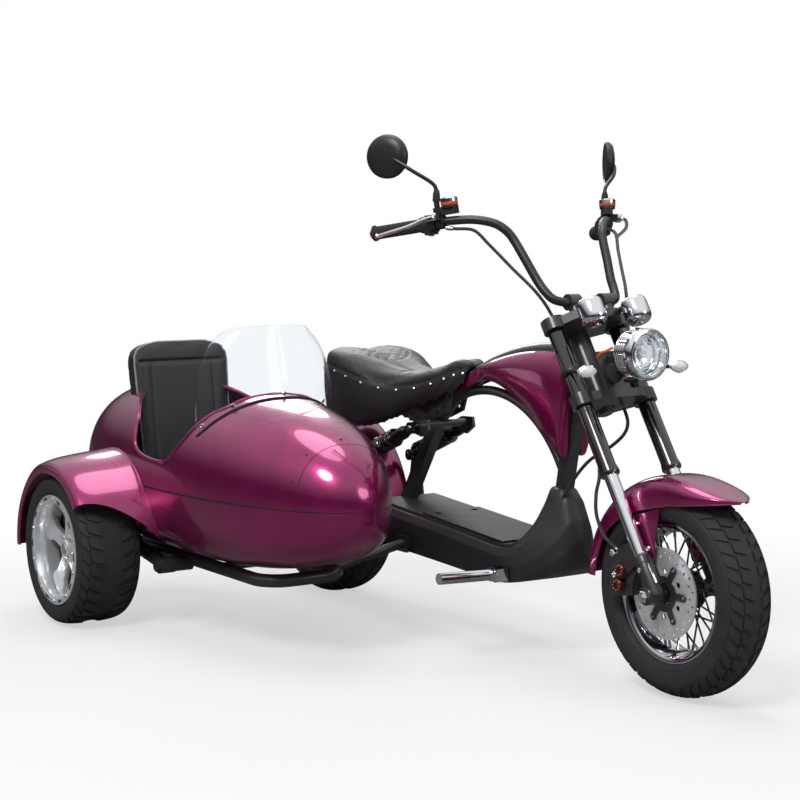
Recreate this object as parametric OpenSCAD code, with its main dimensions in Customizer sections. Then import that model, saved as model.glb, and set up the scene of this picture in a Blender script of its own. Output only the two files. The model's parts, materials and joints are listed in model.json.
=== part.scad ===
// Sidecar motorcycle: an electric chopper scooter with a one-seat sidecar on its right.
// X runs forward, Y to the rider's left and Z up. Each piece is laid out from the
// point on the ground under the rear axle, and placed() then moves the origin to
// the middle of the whole footprint.

/* [Stance] */
// Distance from the rear axle to the front axle
wheelbase = 1520; // [1460:5:1600]
// Distance from the motorcycle's centre plane to the sidecar wheel's
side_track = 812; // [800:1:824]
// How far the sidecar wheel's axle stands ahead of the rear axle
side_lead = 5; // [0:1:20]
// Lean of the front fork from upright, in degrees
rake = 32.5; // [31:0.5:34]

/* [Motorcycle wheels] */
// Outer radius of the front and rear tyres
tyre_r = 243.5; // [238:0.5:249]
// Width of the front tyre
front_tyre_w = 132; // [120:1:134]
// Width of the rear tyre
rear_tyre_w = 150; // [136:1:156]
// Radius of the bead seats of the front and rear rims
bead_r = 152; // [146:0.5:156]
// Width of the front rim between its flanges
front_rim_w = 84; // [76:1:96]
// Width of the rear rim between its flanges
rear_rim_w = 110; // [96:1:120]
// Radius of the rear hub motor
motor_r = 108; // [90:1:120]
// Number of spokes on each side of the front wheel
spoke_count = 18; // [12:2:24]

/* [Sidecar wheel] */
// Outer radius of the sidecar tyre
side_tyre_r = 204.5; // [198:0.5:210]
// Width of the sidecar tyre
side_tyre_w = 174; // [150:1:178]
// Radius of the bead seats of the sidecar rim
side_bead_r = 140; // [132:0.5:146]
// Width of the sidecar rim between its flanges
side_rim_w = 152; // [130:1:156]
// Number of spokes in the cast sidecar rim
side_spokes = 5; // [3:1:8]

/* [Fork] */
// Distance of the fork legs ahead of the axle, square to the fork
leg_offset = 14; // [8:1:20]
// Distance of the steering stem behind the fork legs
clamp_offset = 40; // [36:1:46]
// Half the distance between the two fork legs
leg_y = 95; // [92:1:100]
// Radius of the black upper fork tubes
upper_tube_r = 21; // [19:0.5:22]
// Radius of the chrome lower fork tubes
lower_tube_r = 16.5; // [14:0.5:18]
// Height along the fork at which the upper tubes end
upper_tube_s = 303; // [290:1:315]
// Height along the fork of the lower clamp's middle
lower_clamp_s = 490; // [482:1:500]
// Height along the fork of the top clamp's middle
top_clamp_s = 694; // [688:1:706]
// Steering lock to each side, in degrees
steer_lock = 35; // [20:1:35]

/* [Handlebar] */
// Radius of the handlebar tube
bar_r = 11; // [10:0.5:12.5]
// Half the distance between the two risers
riser_y = 50; // [44:1:54]

/* [Frame] */
// Radius of the backbone's bend, along its centre line
backbone_bend = 758; // [740:2:780]
// Radius of the backbone tube
backbone_r = 21; // [17:0.5:22]
// Radius of the bend of the lower arch
arch_bend = 352; // [346:1:358]
// Radius of the lower arch's tube
arch_r = 12; // [9:0.5:13]
// Width of the down tube and seat post, side to side
beam_w = 30; // [26:1:34]
// Half the outer width of the floor pan
pan_y = 125; // [122:1:135]
// Wall thickness of the floor pan
pan_wall = 4; // [3:0.5:5]
// Height of the deck at the rear end of the floor pan
deck_rear_z = 322; // [318:1:328]
// Thickness of the deck lid
lid_t = 5; // [3:0.5:6]

/* [Rear end] */
// Half the distance between the swingarm's inner faces
arm_in_y = 96; // [94:1:104]
// Thickness of each swingarm side
arm_t = 24; // [18:1:28]
// Radius of the rear axle
rear_axle_r = 9; // [7:0.5:10]
// Outer radius of the rear fender
rear_fender_r = 298; // [285:1:302]
// Half the outer width of the rear fender
rear_fender_y = 90; // [86:1:92]

/* [Saddle] */
// Half the width of the saddle's rear
saddle_y = 140; // [125:1:145]
// Height of the saddle's rear rim
saddle_z = 731; // [720:1:740]

/* [Sidecar body] */
// Distance from the motorcycle's centre plane to the body's
tub_y = 470; // [465:1:480]
// Half the width of the body
tub_w = 248; // [235:1:252]
// Place of the body's tail
tub_tail_x = -355; // [-375:5:-340]
// Place of the body's nose
tub_nose_x = 915; // [880:5:930]
// Height of the seam between the upper and lower shells
seam_z = 388; // [382:1:396]
// Height of the body's top above the seam
tub_rise = 264; // [256:1:272]
// Depth of the body's floor below the seam
tub_drop = 197; // [190:1:204]
// Wall thickness of the body
tub_wall = 5; // [4:0.5:7]

/* [Hidden] */
$fn = 64;

// Colours
magenta = "#8a1a58";
black = "#1c1c1e";
dark_grey = "#36373a";
silver = "#c8cacc";
leather = "#242426";
rubber = "#222324";
clear = "#dfe8ee";

// Clearances
seat_gap = 0.3;
running_gap = 0.05;

// Ends of the footprint, from which the origin is taken
mirror_y = 352;
mirror_r = 54;
mirror_yaw = 57;
front_x = wheelbase + tyre_r;
fender_lip_y = side_track + side_tyre_w / 2 + 8;
mid_x = (front_x + tub_tail_x) / 2;
mid_y = (mirror_y + mirror_r * cos(mirror_yaw) - fender_lip_y) / 2;

module placed() translate([-mid_x, -mid_y, 0]) children();

// ---------- shared shapes ----------

function unit(v) = v / norm(v);
function mix(a, b, t) = a + (b - a) * t;
function power(v, e) = sign(v) * pow(abs(v), e);

// A curve through all the given points, with `steps` pieces in each span
function smooth(p, steps) = [
    for (i = [0 : len(p) - 2], k = [0 : i == len(p) - 2 ? steps : steps - 1])
        let (
            t = k / steps,
            a = p[max(i - 1, 0)],
            b = p[i],
            c = p[i + 1],
            d = p[min(i + 2, len(p) - 1)]
        )
        0.5 * (2 * b + (c - a) * t + (2 * a - 5 * b + 4 * c - d) * t * t
            + (3 * b - a - 3 * c + d) * t * t * t)
];

// The direction of a path at point i
function heading(p, i) = unit(p[min(i + 1, len(p) - 1)] - p[max(i - 1, 0)]);

// The sideways directions along a path, each turned as little as possible from the last
function sides_along(p, first) = [
    for (
        i = 0, n = unit(first - (first * heading(p, 0)) * heading(p, 0));
        i < len(p);
        i = i + 1,
        n = i < len(p) ? unit(n - (n * heading(p, i)) * heading(p, i)) : n
    ) n
];

// A round bar of radius r swept along a path
module sweep(p, r, sides = 10, first = [0, 1, 0]) {
    across = sides_along(p, first);
    points = [
        for (i = [0 : len(p) - 1], k = [0 : sides - 1])
            let (a = 360 * k / sides, n = across[i], m = cross(heading(p, i), n))
            p[i] + r * (n * cos(a) + m * sin(a))
    ];
    faces = concat(
        [for (i = [0 : len(p) - 2], k = [0 : sides - 1])
            [i * sides + k, (i + 1) * sides + k, i * sides + (k + 1) % sides]],
        [for (i = [0 : len(p) - 2], k = [0 : sides - 1])
            [i * sides + (k + 1) % sides, (i + 1) * sides + k,
                (i + 1) * sides + (k + 1) % sides]],
        [[for (k = [0 : sides - 1]) k]],
        [[for (k = [sides - 1 : -1 : 0]) (len(p) - 1) * sides + k]]
    );
    polyhedron(points, faces, convexity = 6);
}

// A closed skin between two matching grids of points, `outer` and `inner`.
// Rows run along the shape and columns across it. A row that shrinks to one
// point is a pole, marked by pole_first or pole_last.
module skin(outer, inner, pole_first = false, pole_last = false) {
    n = len(outer[0]);
    last = len(outer) - 1;
    points = concat([for (row = outer) each row], [for (row = inner) each row]);
    function at(i, j, side) =
        side * (last + 1) * n + i * n + ((i == 0 && pole_first) || (i == last && pole_last) ? 0 : j);
    function quad(a, b, c, d) = [[a, b, c], [b, d, c]];
    function face(i, j, side) = quad(at(i, j, side), at(i, j + 1, side), at(i + 1, j, side), at(i + 1, j + 1, side));
    outside = [for (i = [0 : last - 1], j = [0 : n - 2]) each face(i, j, 0)];
    inside = [for (i = [0 : last - 1], j = [0 : n - 2], f = face(i, j, 1)) [f[2], f[1], f[0]]];
    edges = concat(
        [for (i = [0 : last - 1]) each quad(at(i, 0, 0), at(i + 1, 0, 0), at(i, 0, 1), at(i + 1, 0, 1))],
        [for (i = [0 : last - 1]) each quad(at(i + 1, n - 1, 0), at(i, n - 1, 0), at(i + 1, n - 1, 1), at(i, n - 1, 1))],
        [for (j = [0 : n - 2]) each quad(at(0, j + 1, 0), at(0, j, 0), at(0, j + 1, 1), at(0, j, 1))],
        [for (j = [0 : n - 2]) each quad(at(last, j, 0), at(last, j + 1, 0), at(last, j, 1), at(last, j + 1, 1))]
    );
    // Faces that fall to a line at a pole are left out
    polyhedron(points, [for (f = concat(outside, inside, edges))
        if (f[0] != f[1] && f[1] != f[2] && f[0] != f[2]) [f[2], f[1], f[0]]], convexity = 8);
}

// A closed body through matching rings of points, with flat ends
module body_through(rings) {
    m = len(rings);
    n = len(rings[0]);
    faces = concat(
        [for (i = [0 : m - 2], j = [0 : n - 1])
            [i * n + j, i * n + (j + 1) % n, (i + 1) * n + j]],
        [for (i = [0 : m - 2], j = [0 : n - 1])
            [i * n + (j + 1) % n, (i + 1) * n + (j + 1) % n, (i + 1) * n + j]],
        [[for (j = [n - 1 : -1 : 0]) j]],
        [[for (j = [0 : n - 1]) (m - 1) * n + j]]
    );
    polyhedron([for (ring = rings) each ring], faces, convexity = 6);
}

// A round bar between two points
module bar(a, b, r) {
    d = b - a;
    translate(a) rotate([0, acos(d[2] / norm(d)), atan2(d[1], d[0])]) cylinder(h = norm(d), r = r);
}

// A cylinder along Y, centred on y
module across(r, w, y = 0) translate([0, y, 0]) rotate([90, 0, 0]) cylinder(h = w, r = r, center = true);

// A plate in the XZ plane, centred on y, from an outline of [x, z] points
module plate(points, w, y = 0)
    translate([0, y + w / 2, 0]) rotate([90, 0, 0]) linear_extrude(w) polygon(points);

// A tube bent in the XZ plane about a centre, from one angle to another
module arc_tube(centre, bend, r, from, to)
    translate([centre[0], 0, centre[1]]) rotate([90, 0, 0]) rotate([0, 0, from])
        rotate_extrude(angle = to - from) translate([bend, 0]) circle(r = r);

module both() {
    children();
    mirror([0, 1, 0]) children();
}

// ---------- wheels, each about its own axle along Y ----------

flange_h = 9;
flange_t = 4;

// Half a tyre's section as [radius, across] points, from bead to crown
function tyre_side(w, rim_w, r, bead, square) =
    let (
        foot = bead + flange_h + 1,
        widest = foot + 0.45 * (r - foot)
    )
    concat(
        [[bead, rim_w / 2]],
        [for (a = [-90 : 18 : 0])
            [widest + (widest - foot) * sin(a), rim_w / 2 + (w - rim_w) / 2 * cos(a)]],
        [for (a = [15 : 15 : 75])
            [widest + (r - widest) * pow(sin(a), square), w / 2 * pow(cos(a), square)]]
    );

module tyre(w, rim_w, r, bead, square) {
    half = tyre_side(w, rim_w, r, bead, square);
    n = len(half);
    rotate([90, 0, 0]) rotate_extrude($fn = 96)
        polygon(concat(half, [[r, 0]], [for (i = [n - 1 : -1 : 0]) [half[i][0], -half[i][1]]]));
}

// A rim's barrel, open inside, with a dropped well in its middle
module barrel(rim_w, bead, well, t) {
    half = rim_w / 2;
    rotate([90, 0, 0]) rotate_extrude($fn = 96) polygon([
        [bead + flange_h, -half - flange_t], [bead + flange_h, -half],
        [bead, -half], [bead, -half + 18], [bead - well, -half + 32],
        [bead - well, half - 32], [bead, half - 18], [bead, half],
        [bead + flange_h, half], [bead + flange_h, half + flange_t],
        [bead - t, half + flange_t], [bead - t, half - 20],
        [bead - well - t, half - 34], [bead - well - t, -half + 34],
        [bead - t, -half + 20], [bead - t, -half - flange_t]
    ]);
}

// ---------- placing frames ----------

front_axle_r = 8;
side_axle_r = 10;

module at_front_axle() translate([wheelbase, 0, tyre_r]) children();

// The fork's own frame: Z up along the legs, X ahead, origin on the front axle
module on_fork() at_front_axle() rotate([0, -rake, 0]) children();

module at_rear_axle() translate([0, 0, tyre_r]) children();

module at_side_axle() translate([side_lead, -side_track, side_tyre_r]) children();

// World place of a point given in the fork's frame
function fork_point(n, y, s) = [
    wheelbase + n * cos(rake) - s * sin(rake),
    y,
    tyre_r + n * sin(rake) + s * cos(rake)
];

stem_n = leg_offset - clamp_offset;

// ---------- main frame ----------

stem_r = 17;
head_r = 28;
clamp_t = 30;
head_low_s = lower_clamp_s + clamp_t / 2 + 1;
head_high_s = top_clamp_s - clamp_t / 2 - 1;
backbone_apex = [1070, 768];
backbone_front_x = 1150;
backbone_rear_x = 556;
arch_apex = [775, 650];
down_foot = [1050, 238];
down_knee = [1104, 515];
down_head = [1172, 712];
down_w = 36;
post_foot = [358, 262];
post_head = [572, 598];
post_w = 36;
rail_y = pan_y - pan_wall - seat_gap - 3;
rail_w = 22;
rail_low = 215;
rail_h = 28;
rail_front_x = 985;
rail_rear_x = 352;
pivot = [352, 262];
pivot_r = 10;
shock_y = 92;
shock_top = [549, 537];
shock_low = [272, 425];
shock_bolt_r = 7;
peg_x = 1000;
peg_z = 216;

// Outline of a straight-sided strip of width w along two or three [x, z] points
function strip(p, w) =
    let (
        n = len(p),
        dirs = [for (i = [0 : n - 2]) unit(p[i + 1] - p[i])],
        side = [for (i = [0 : n - 1])
            let (a = dirs[max(i - 1, 0)], b = dirs[min(i, n - 2)], m = unit([-a[1] - b[1], a[0] + b[0]]))
            m * w / 2 / (m * [-b[1], b[0]])]
    )
    concat([for (i = [0 : n - 1]) p[i] + side[i]], [for (i = [n - 1 : -1 : 0]) p[i] - side[i]]);

module down_tube(extra = 0)
    plate(strip([down_foot, down_knee, down_head], down_w + 2 * extra), beam_w + 2 * extra);
module seat_post(extra = 0) plate(strip([post_foot, post_head], post_w + 2 * extra), beam_w + 2 * extra);

backbone_from = 90 - asin((backbone_front_x - backbone_apex[0]) / backbone_bend);
backbone_to = 90 + asin((backbone_apex[0] - backbone_rear_x) / backbone_bend);
arch_front_x = 1088;
arch_rear_x = 640;
arch_from = 90 - asin((arch_front_x - arch_apex[0]) / arch_bend);
arch_to = 90 + asin((arch_apex[0] - arch_rear_x) / arch_bend);

// Ears at the top of the seat post for the shocks, with the tube that joins them
ear_y = shock_y - 18;
module shock_ears() {
    both() plate([[530, 522], [530, 552], [548, 560], [598, 562], [604, 536], [570, 514]], 8, ear_y);
    translate([570, 0, 546]) across(10, 2 * ear_y - 6);
    both() translate([shock_top[0], 0, shock_top[1]]) across(shock_bolt_r, 40, ear_y + 15);
}

// Plates at the rear of the rails that carry the swingarm's pivot tube
module pivot_plates() {
    translate([pivot[0], 0, pivot[1]]) across(20, 2 * arm_in_y - 2);
    both() plate([[pivot[0] - 20, pivot[1] + 6], [pivot[0] - 20, pivot[1] - 6],
        [pivot[0] + 6, rail_low], [rail_rear_x + 130, rail_low],
        [rail_rear_x + 60, pivot[1] + 24], [pivot[0], pivot[1] + 24]], 10, arm_in_y - 10);
}

// Lower rails with their cross pieces and the spine under the down tube, inside the pan
module rails() {
    both() translate([rail_rear_x + 20, rail_y - rail_w, rail_low])
        cube([rail_front_x - rail_rear_x - 20, rail_w, rail_h]);
    for (x = [rail_rear_x + 20, rail_front_x - 31])
        translate([x, -rail_y + 1, rail_low + 1]) cube([30, 2 * rail_y - 2, rail_h - 2]);
    translate([rail_front_x - 30, -22, rail_low + 2]) cube([down_foot[0] + 16 - rail_front_x + 30, 44, rail_h]);
    translate([post_foot[0] + 1, -80, rail_low + 3]) cube([34, 160, 60]);
}

module main_frame() color(dark_grey) placed() difference() {
    union() {
        on_fork() translate([stem_n, 0, head_low_s]) cylinder(h = head_high_s - head_low_s, r = head_r);
        arc_tube([backbone_apex[0], backbone_apex[1] - backbone_bend], backbone_bend,
            backbone_r, backbone_from, backbone_to);
        arc_tube([arch_apex[0], arch_apex[1] - arch_bend], arch_bend, arch_r, arch_from, arch_to);
        down_tube();
        seat_post();
        rails();
        pivot_plates();
        shock_ears();
    }
    on_fork() translate([stem_n, 0, head_low_s - 20])
        cylinder(h = head_high_s - head_low_s + 40, r = stem_r + running_gap);
    translate([pivot[0], 0, pivot[1]]) across(pivot_r, 400);
}

// ---------- floor pan and deck ----------

deck_front = [985, 280];
deck_rear_x = 384;
deck_slope = atan2(deck_rear_z - deck_front[1], deck_front[0] - 456);
lid_rear_x = 600;
lid_front_x = 955;
lid_y = 92;
lid_len = (lid_front_x - lid_rear_x) / cos(deck_slope);
function deck_z(x) = deck_front[1] + (deck_front[0] - x) * tan(deck_slope);

// The pan's side view, drawn in by `t` from its outer face. The rear end stays open.
function pan_outline(t) =
    let (rear = t > 0 ? deck_rear_x - 20 : deck_rear_x)
    [
        [rear, 210 + t], [rear, deck_z(rear) - t], [deck_front[0], deck_front[1] - t],
        [1010 + t * 0.6, 292 - t * 0.8], [1036 + t, 322 - t * 0.4], [1050 + t, 366],
        [1062 + t, 434 - t], [1100, 434 - t], [1110 - t, 404], [1136 - t, 360],
        [1158 - t, 318], [1166 - t, 290], [1162 - t, 256 + t * 0.4], [1142 - t * 0.6, 229 + t * 0.8],
        [1100, 214 + t], [1040, 197 + t], [985, 188 + t]
    ];

// The pan's plan view, and the front view of its nose, drawn in by `t`
nose_from_x = 985;
function mirrored(half) = concat(half, [for (i = [len(half) - 1 : -1 : 0]) [-half[i][0], half[i][1]]]);
function pan_plan(t) = mirrored([[pan_y - t, 300], [pan_y - t, nose_from_x], [108 - t, 1040], [64 - t, 1100],
    [28 - t, 1150], [14 - t * 0.5, 1166 - t]]);
function pan_front(t) = mirrored([[pan_y - t, 100], [pan_y - t, 282], [102 - t, 300], [74 - t, 330],
    [46 - t, 372], [25 - t * 0.7, 434], [25 - t * 0.7, 500]]);

module pan_solid(t) intersection() {
    plate(pan_outline(t), 400);
    translate([0, 0, 100]) linear_extrude(500) polygon([for (p = pan_plan(t)) [p[1], p[0]]]);
    union() {
        translate([300, -200, 100]) cube([nose_from_x - 299, 400, 400]);
        translate([nose_from_x, 0, 0]) rotate([90, 0, 90]) linear_extrude(300) polygon(pan_front(t));
    }
}

module on_deck() translate([lid_front_x, 0, deck_z(lid_front_x)]) rotate([0, deck_slope, 0]) children();

// Bolts that pass through the pan's wall into the frame's rails
mount_x = [430, 560];
mount_bolt_r = 6;

module floor_pan() color(black) placed() difference() {
    pan_solid(0);
    pan_solid(pan_wall);
    down_tube(seat_gap);
    seat_post(seat_gap);
    on_deck() translate([-lid_len + 15, -lid_y + 12, -20]) cube([lid_len - 30, 2 * lid_y - 24, 40]);
    for (x = mount_x) translate([x, 0, rail_low + rail_h / 2]) across(mount_bolt_r + seat_gap, 40, -pan_y);
}

module battery_lid() color("#2c2c2e") placed() on_deck() difference() {
    translate([-lid_len, -lid_y, 0]) cube([lid_len, 2 * lid_y, lid_t]);
    for (y = [-60, 60]) translate([-lid_len + 26, y, -1]) cylinder(h = lid_t + 2, r = 9);
}

battery_low = 217;
battery_h = 50;
battery_y = rail_y - rail_w - seat_gap;
module battery_block() color("#2b4a66") placed()
    translate([590, -battery_y, battery_low]) cube([340, 2 * battery_y, battery_h]);

// ---------- side panels at the backbone ----------

panel_rows = 24;
panel_cols = 8;
panel_in_y = backbone_r + seat_gap;
panel_swell = 42;

// Upper and lower edges of a side panel, running from its tail to its front tip
panel_top = smooth([[655, 640], [700, 680], [745, 707], [800, 724], [856, 740], [930, 756], [1010, 766],
    [1070, 769], [1112, 764], [1136, 736], [1140, 672], [1130, 590], [1122, 520]], 2);
panel_low = smooth([[653, 632], [690, 650], [740, 668], [800, 680], [866, 672], [930, 648], [985, 620],
    [1024, 592], [1052, 568], [1078, 548], [1096, 532], [1108, 520], [1118, 512]], 2);

// A point on a panel. It lies flat on the frame at its tail and swells out ahead of that.
function panel_point(i, j, lift) =
    let (
        u = i / panel_rows,
        v = j / panel_cols,
        p = mix(panel_low[i], panel_top[i], v),
        along = pow(sin(180 * 0.97 * max(0, u - 0.2) / 0.8), 0.5),
        up = pow(sin(180 * mix(0.08, 0.96, pow(v, 1.2))), 0.5)
    )
    [p[0], panel_in_y + (lift ? 3 + panel_swell * along * up : 0), p[1]];

module side_panel() skin(
    [for (i = [0 : panel_rows]) [for (j = [0 : panel_cols]) panel_point(i, j, true)]],
    [for (i = [0 : panel_rows]) [for (j = [0 : panel_cols]) panel_point(i, j, false)]]
);

module tank_panels() color(magenta) placed() both() side_panel();

// ---------- saddle ----------

// Stations of the saddle: [x, half width, top height, rim height, skirt bottom]
saddle_stations = smooth([
    [112, 34, 690, 664, 630], [122, 84, 716, 682, 592], [150, 118, 729, 694, 558],
    [205, 136, 731, 692, 536], [265, 137, 722, 680, 527], [330, 124, 704, 664, 530],
    [400, 101, 688, 650, 546], [470, 79, 682, 648, 572], [540, 60, 690, 660, 600],
    [610, 48, 706, 680, 624], [660, 43, 722, 697, 640], [700, 37, 728, 706, 662],
    [722, 26, 722, 711, 699]
], 2);

// Height of the backbone's upper surface at x and y
function backbone_top(x, y) =
    let (lean = asin((backbone_apex[0] - x) / backbone_bend))
    backbone_apex[1] - backbone_bend * (1 - cos(lean)) + sqrt(max(0, pow(backbone_r, 2) - y * y)) / cos(lean);

// Section of the saddle at a station: a dished top, a rounded rim, and skirts over a hollow
function saddle_ring(s) =
    let (
        x = s[0],
        w = s[1] * saddle_y / 140,
        lift = saddle_z - 731,
        top = s[2] + lift,
        rim = s[3] + lift,
        low = s[4],
        hollow_side = max(mix(low, rim, 0.6), backbone_top(x, w * 0.7) + 1.4),
        hollow_mid = max(mix(low, rim, 0.62), backbone_top(x, 0) + 1.4),
        half = [[0.94, low], [1, mix(low, rim, 0.45)], [0.99, rim], [0.86, mix(rim, top, 0.7)], [0.5, top - 2]]
    )
    concat(
        [for (h = half) [x, -w * h[0], h[1]]],
        [[x, 0, top - 8]],
        [for (i = [len(half) - 1 : -1 : 0]) [x, w * half[i][0], half[i][1]]],
        [[x, w * 0.7, hollow_side], [x, 0, hollow_mid], [x, -w * 0.7, hollow_side]]
    );

module saddle() color(leather) placed() body_through([for (s = saddle_stations) saddle_ring(s)]);

// The steel bracket under the saddle: two side plates with round cut-outs, bolted to
// the backbone's sides
bracket_y = 24.2;
bracket_t = 6;
module saddle_bracket() color(black) placed() {
    both() difference() {
        plate([[452, 604], [476, 582], [560, 560], [624, 584], [646, 640], [640, 662.5], [610, 656],
            [540, 635.2], [470, 617]], bracket_t, bracket_y);
        translate([500, 0, 599]) across(8, 200);
        translate([536, 0, 591]) across(9, 200);
        translate([604, 0, 596]) across(7, 200);
    }
    both() translate([572, 0, 584]) across(9, 6, bracket_y + bracket_t / 2 + 3);
}

// ---------- swingarm, shocks and rear fender ----------

module swingarm_side() difference() {
    union() {
        plate([[pivot[0], pivot[1] + 21], [pivot[0], pivot[1] - 21], [230, 224],
            [0, tyre_r - 20], [-14, tyre_r - 14], [-14, tyre_r + 14], [0, tyre_r + 20], [230, 266]],
            arm_t, arm_in_y + arm_t / 2);
        translate([pivot[0], 0, pivot[1]]) across(22, arm_t, arm_in_y + arm_t / 2);
        at_rear_axle() across(24, arm_t, arm_in_y + arm_t / 2);
        // Ear for the lower end of the shock
        plate([[226, 250], [320, 258], [294, 400], [290, 432], [272, 441], [254, 432], [250, 400]],
            6, shock_y + 16);
    }
    translate([pivot[0], 0, pivot[1]]) across(pivot_r, 400);
    at_rear_axle() across(rear_axle_r, 400);
    translate([shock_low[0], 0, shock_low[1]]) across(shock_bolt_r, 400);
}

arm_cross_x = 317;
rear_spacer_y = 84.1;
module swingarm() color(dark_grey) placed() {
    both() swingarm_side();
    translate([arm_cross_x, 0, 254]) across(11, 2 * arm_in_y + 2);
    // Pivot bolt, axle with its spacers and nuts, and the lower shock bolts
    translate([pivot[0], 0, pivot[1]]) across(pivot_r, 2 * (arm_in_y + arm_t) + 16);
    at_rear_axle() {
        across(rear_axle_r, 2 * (arm_in_y + arm_t) + 24);
        both() across(15, 8, arm_in_y + arm_t + 4);
        across(14, arm_in_y - 66, -(arm_in_y + 66) / 2);
        across(14, arm_in_y - rear_spacer_y, (arm_in_y + rear_spacer_y) / 2);
    }
    both() translate([shock_low[0], 0, shock_low[1]]) across(shock_bolt_r, 40, shock_y + 5);
    // Flat stays up to the fender
    both() {
        plate([[-8, tyre_r + 20], [8, tyre_r + 20], [-86, tyre_r + 232], [-102, tyre_r + 226]], 3,
            rear_fender_y + 1.8);
        translate([-9, rear_fender_y + 0.4, tyre_r + 12]) cube([18, arm_in_y - rear_fender_y + 1, 12]);
    }
}

shock_len = norm(shock_top - shock_low);
shock_tilt = atan2(shock_top[0] - shock_low[0], shock_top[1] - shock_low[1]);
coil_turns = 11;

// One spring-and-damper unit standing on the origin, with its eyes at both ends
module shock_unit(len, eye_bore, r) {
    coil_from = len * 0.17;
    coil_to = len * 0.67;
    difference() {
        union() {
            cylinder(h = len, r = r * 0.35);
            for (z = [0, len]) translate([0, 0, z]) across(r * 0.62, 22);
            translate([0, 0, len * 0.12]) cylinder(h = len * 0.05, r = r);
            translate([0, 0, coil_from]) cylinder(h = coil_to - coil_from, r = r * 0.78);
            for (k = [0 : coil_turns - 1])
                translate([0, 0, mix(coil_from, coil_to, (k + 0.5) / coil_turns)])
                    rotate_extrude() translate([r - 4, 0]) circle(r = 4);
            translate([0, 0, coil_to]) cylinder(h = len * 0.2, r = r * 0.92);
        }
        for (z = [0, len]) translate([0, 0, z]) across(eye_bore, 60);
    }
}

module rear_shocks() color(black) placed() both()
    translate([shock_low[0], shock_y, shock_low[1]]) rotate([0, shock_tilt, 0])
        shock_unit(shock_len, shock_bolt_r, 26);

// Section of a fender as [radius, across] points: a crown with two skirts
function fender_section(r, w, skirt, square) = [
    for (a = [0 : 15 : 180]) [r - skirt + skirt * power(sin(a), square), w * power(cos(a), square)]
];

module rear_fender() color(magenta) placed() at_rear_axle() {
    t = 3;
    out = fender_section(rear_fender_r, rear_fender_y, 62, 0.55);
    in = fender_section(rear_fender_r - t, rear_fender_y - t, 62 - t, 0.55);
    from = -2;
    to = 158;
    rotate([90, 0, 0]) rotate([0, 0, from]) rotate_extrude(angle = to - from, $fn = 96)
        polygon(concat(out, [for (i = [len(in) - 1 : -1 : 0]) in[i]]));
}

// Tail lamp on a bracket off the fender's back, with the plate holder under it
tail_angle = 140;
tail_x = -268;
tail_z = 476;
plate_x = -290;
plate_z = 392;
plate_w = 150;
plate_h = 96;
plate_bolt_gap = 84;
plate_bolt_r = 3;
module tail_light() placed() {
    color(black) difference() {
        union() {
            at_rear_axle() rotate([0, -tail_angle, 0]) translate([rear_fender_r + seat_gap, -22, -16])
                cube([46, 44, 32]);
            translate([tail_x, 0, tail_z]) rotate([0, -90, 0]) cylinder(h = 16, r = 32);
            translate([plate_x, -16, plate_z + 20]) cube([18, 32, tail_z - plate_z - 30]);
            translate([plate_x - 3, -plate_w / 2, plate_z - plate_h / 2]) cube([3, plate_w, plate_h]);
        }
        for (y = [-1, 1]) translate([plate_x - 10, y * plate_bolt_gap / 2, plate_z + 30]) rotate([0, 90, 0])
            cylinder(h = 20, r = plate_bolt_r);
    }
    color("#7a1016") translate([tail_x - 15, 0, tail_z]) rotate([0, -90, 0]) cylinder(h = 14, r = 28);
}

// ---------- foot pegs ----------

module foot_pegs() color(silver) placed() both() {
    difference() {
        union() {
            translate([peg_x - 22, pan_y + seat_gap, peg_z - 16]) cube([44, 6, 32]);
            for (x = [-22, 16]) translate([peg_x + x, pan_y + 6, peg_z - 16]) cube([6, 34, 32]);
        }
        translate([peg_x - 40, pan_y + 28, peg_z]) rotate([0, 90, 0]) cylinder(h = 80, r = 5);
    }
    translate([peg_x - 24, pan_y + 28, peg_z]) rotate([0, 90, 0]) cylinder(h = 48, r = 5);
    difference() {
        union() {
            translate([peg_x, pan_y + 28, peg_z]) rotate([-88, 0, 0]) cylinder(h = 165, r = 14);
            translate([peg_x - 15.5, pan_y + 14, peg_z - 14]) cube([31, 30, 28]);
        }
        translate([peg_x - 40, pan_y + 28, peg_z]) rotate([0, 90, 0]) cylinder(h = 80, r = 5);
    }
}

// ---------- brakes ----------

rear_disc_y = 82;
rear_disc_r = 98;

// A brake caliper over a disc, from one angle to another and `deep` from in to out
module caliper(disc_r, disc_y, slot, y_in, y_out, from, to, deep) difference() {
    rotate([90, 0, 0]) rotate([0, 0, from]) translate([0, 0, -y_out])
        rotate_extrude(angle = to - from) translate([disc_r - 30, 0]) square([deep, y_out - y_in]);
    across(disc_r + 5, slot, disc_y);
}

module rear_caliper() color(black) placed() at_rear_axle()
    caliper(rear_disc_r, rear_disc_y, 14, 66, arm_in_y, 8, 46, 42);

// A drilled brake disc
module disc(r, y, hub_r, t = 4, holes = 24) difference() {
    across(r, t, y);
    across(hub_r, t + 2, y);
    for (k = [0 : holes - 1])
        rotate([0, 360 / holes * k, 0]) translate([r - (k % 2 ? 10 : 20), 0, 0]) across(3.5, t + 2, y);
    for (k = [0 : 5])
        rotate([0, 60 * k + 30, 0]) translate([(r - 30 + hub_r) / 2 + 2, 0, 0]) across(7, t + 2, y);
}

// ---------- wheels ----------

module rear_tyre() color(rubber) placed() at_rear_axle()
    tyre(rear_tyre_w, rear_rim_w, tyre_r, bead_r, 0.8);

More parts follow.
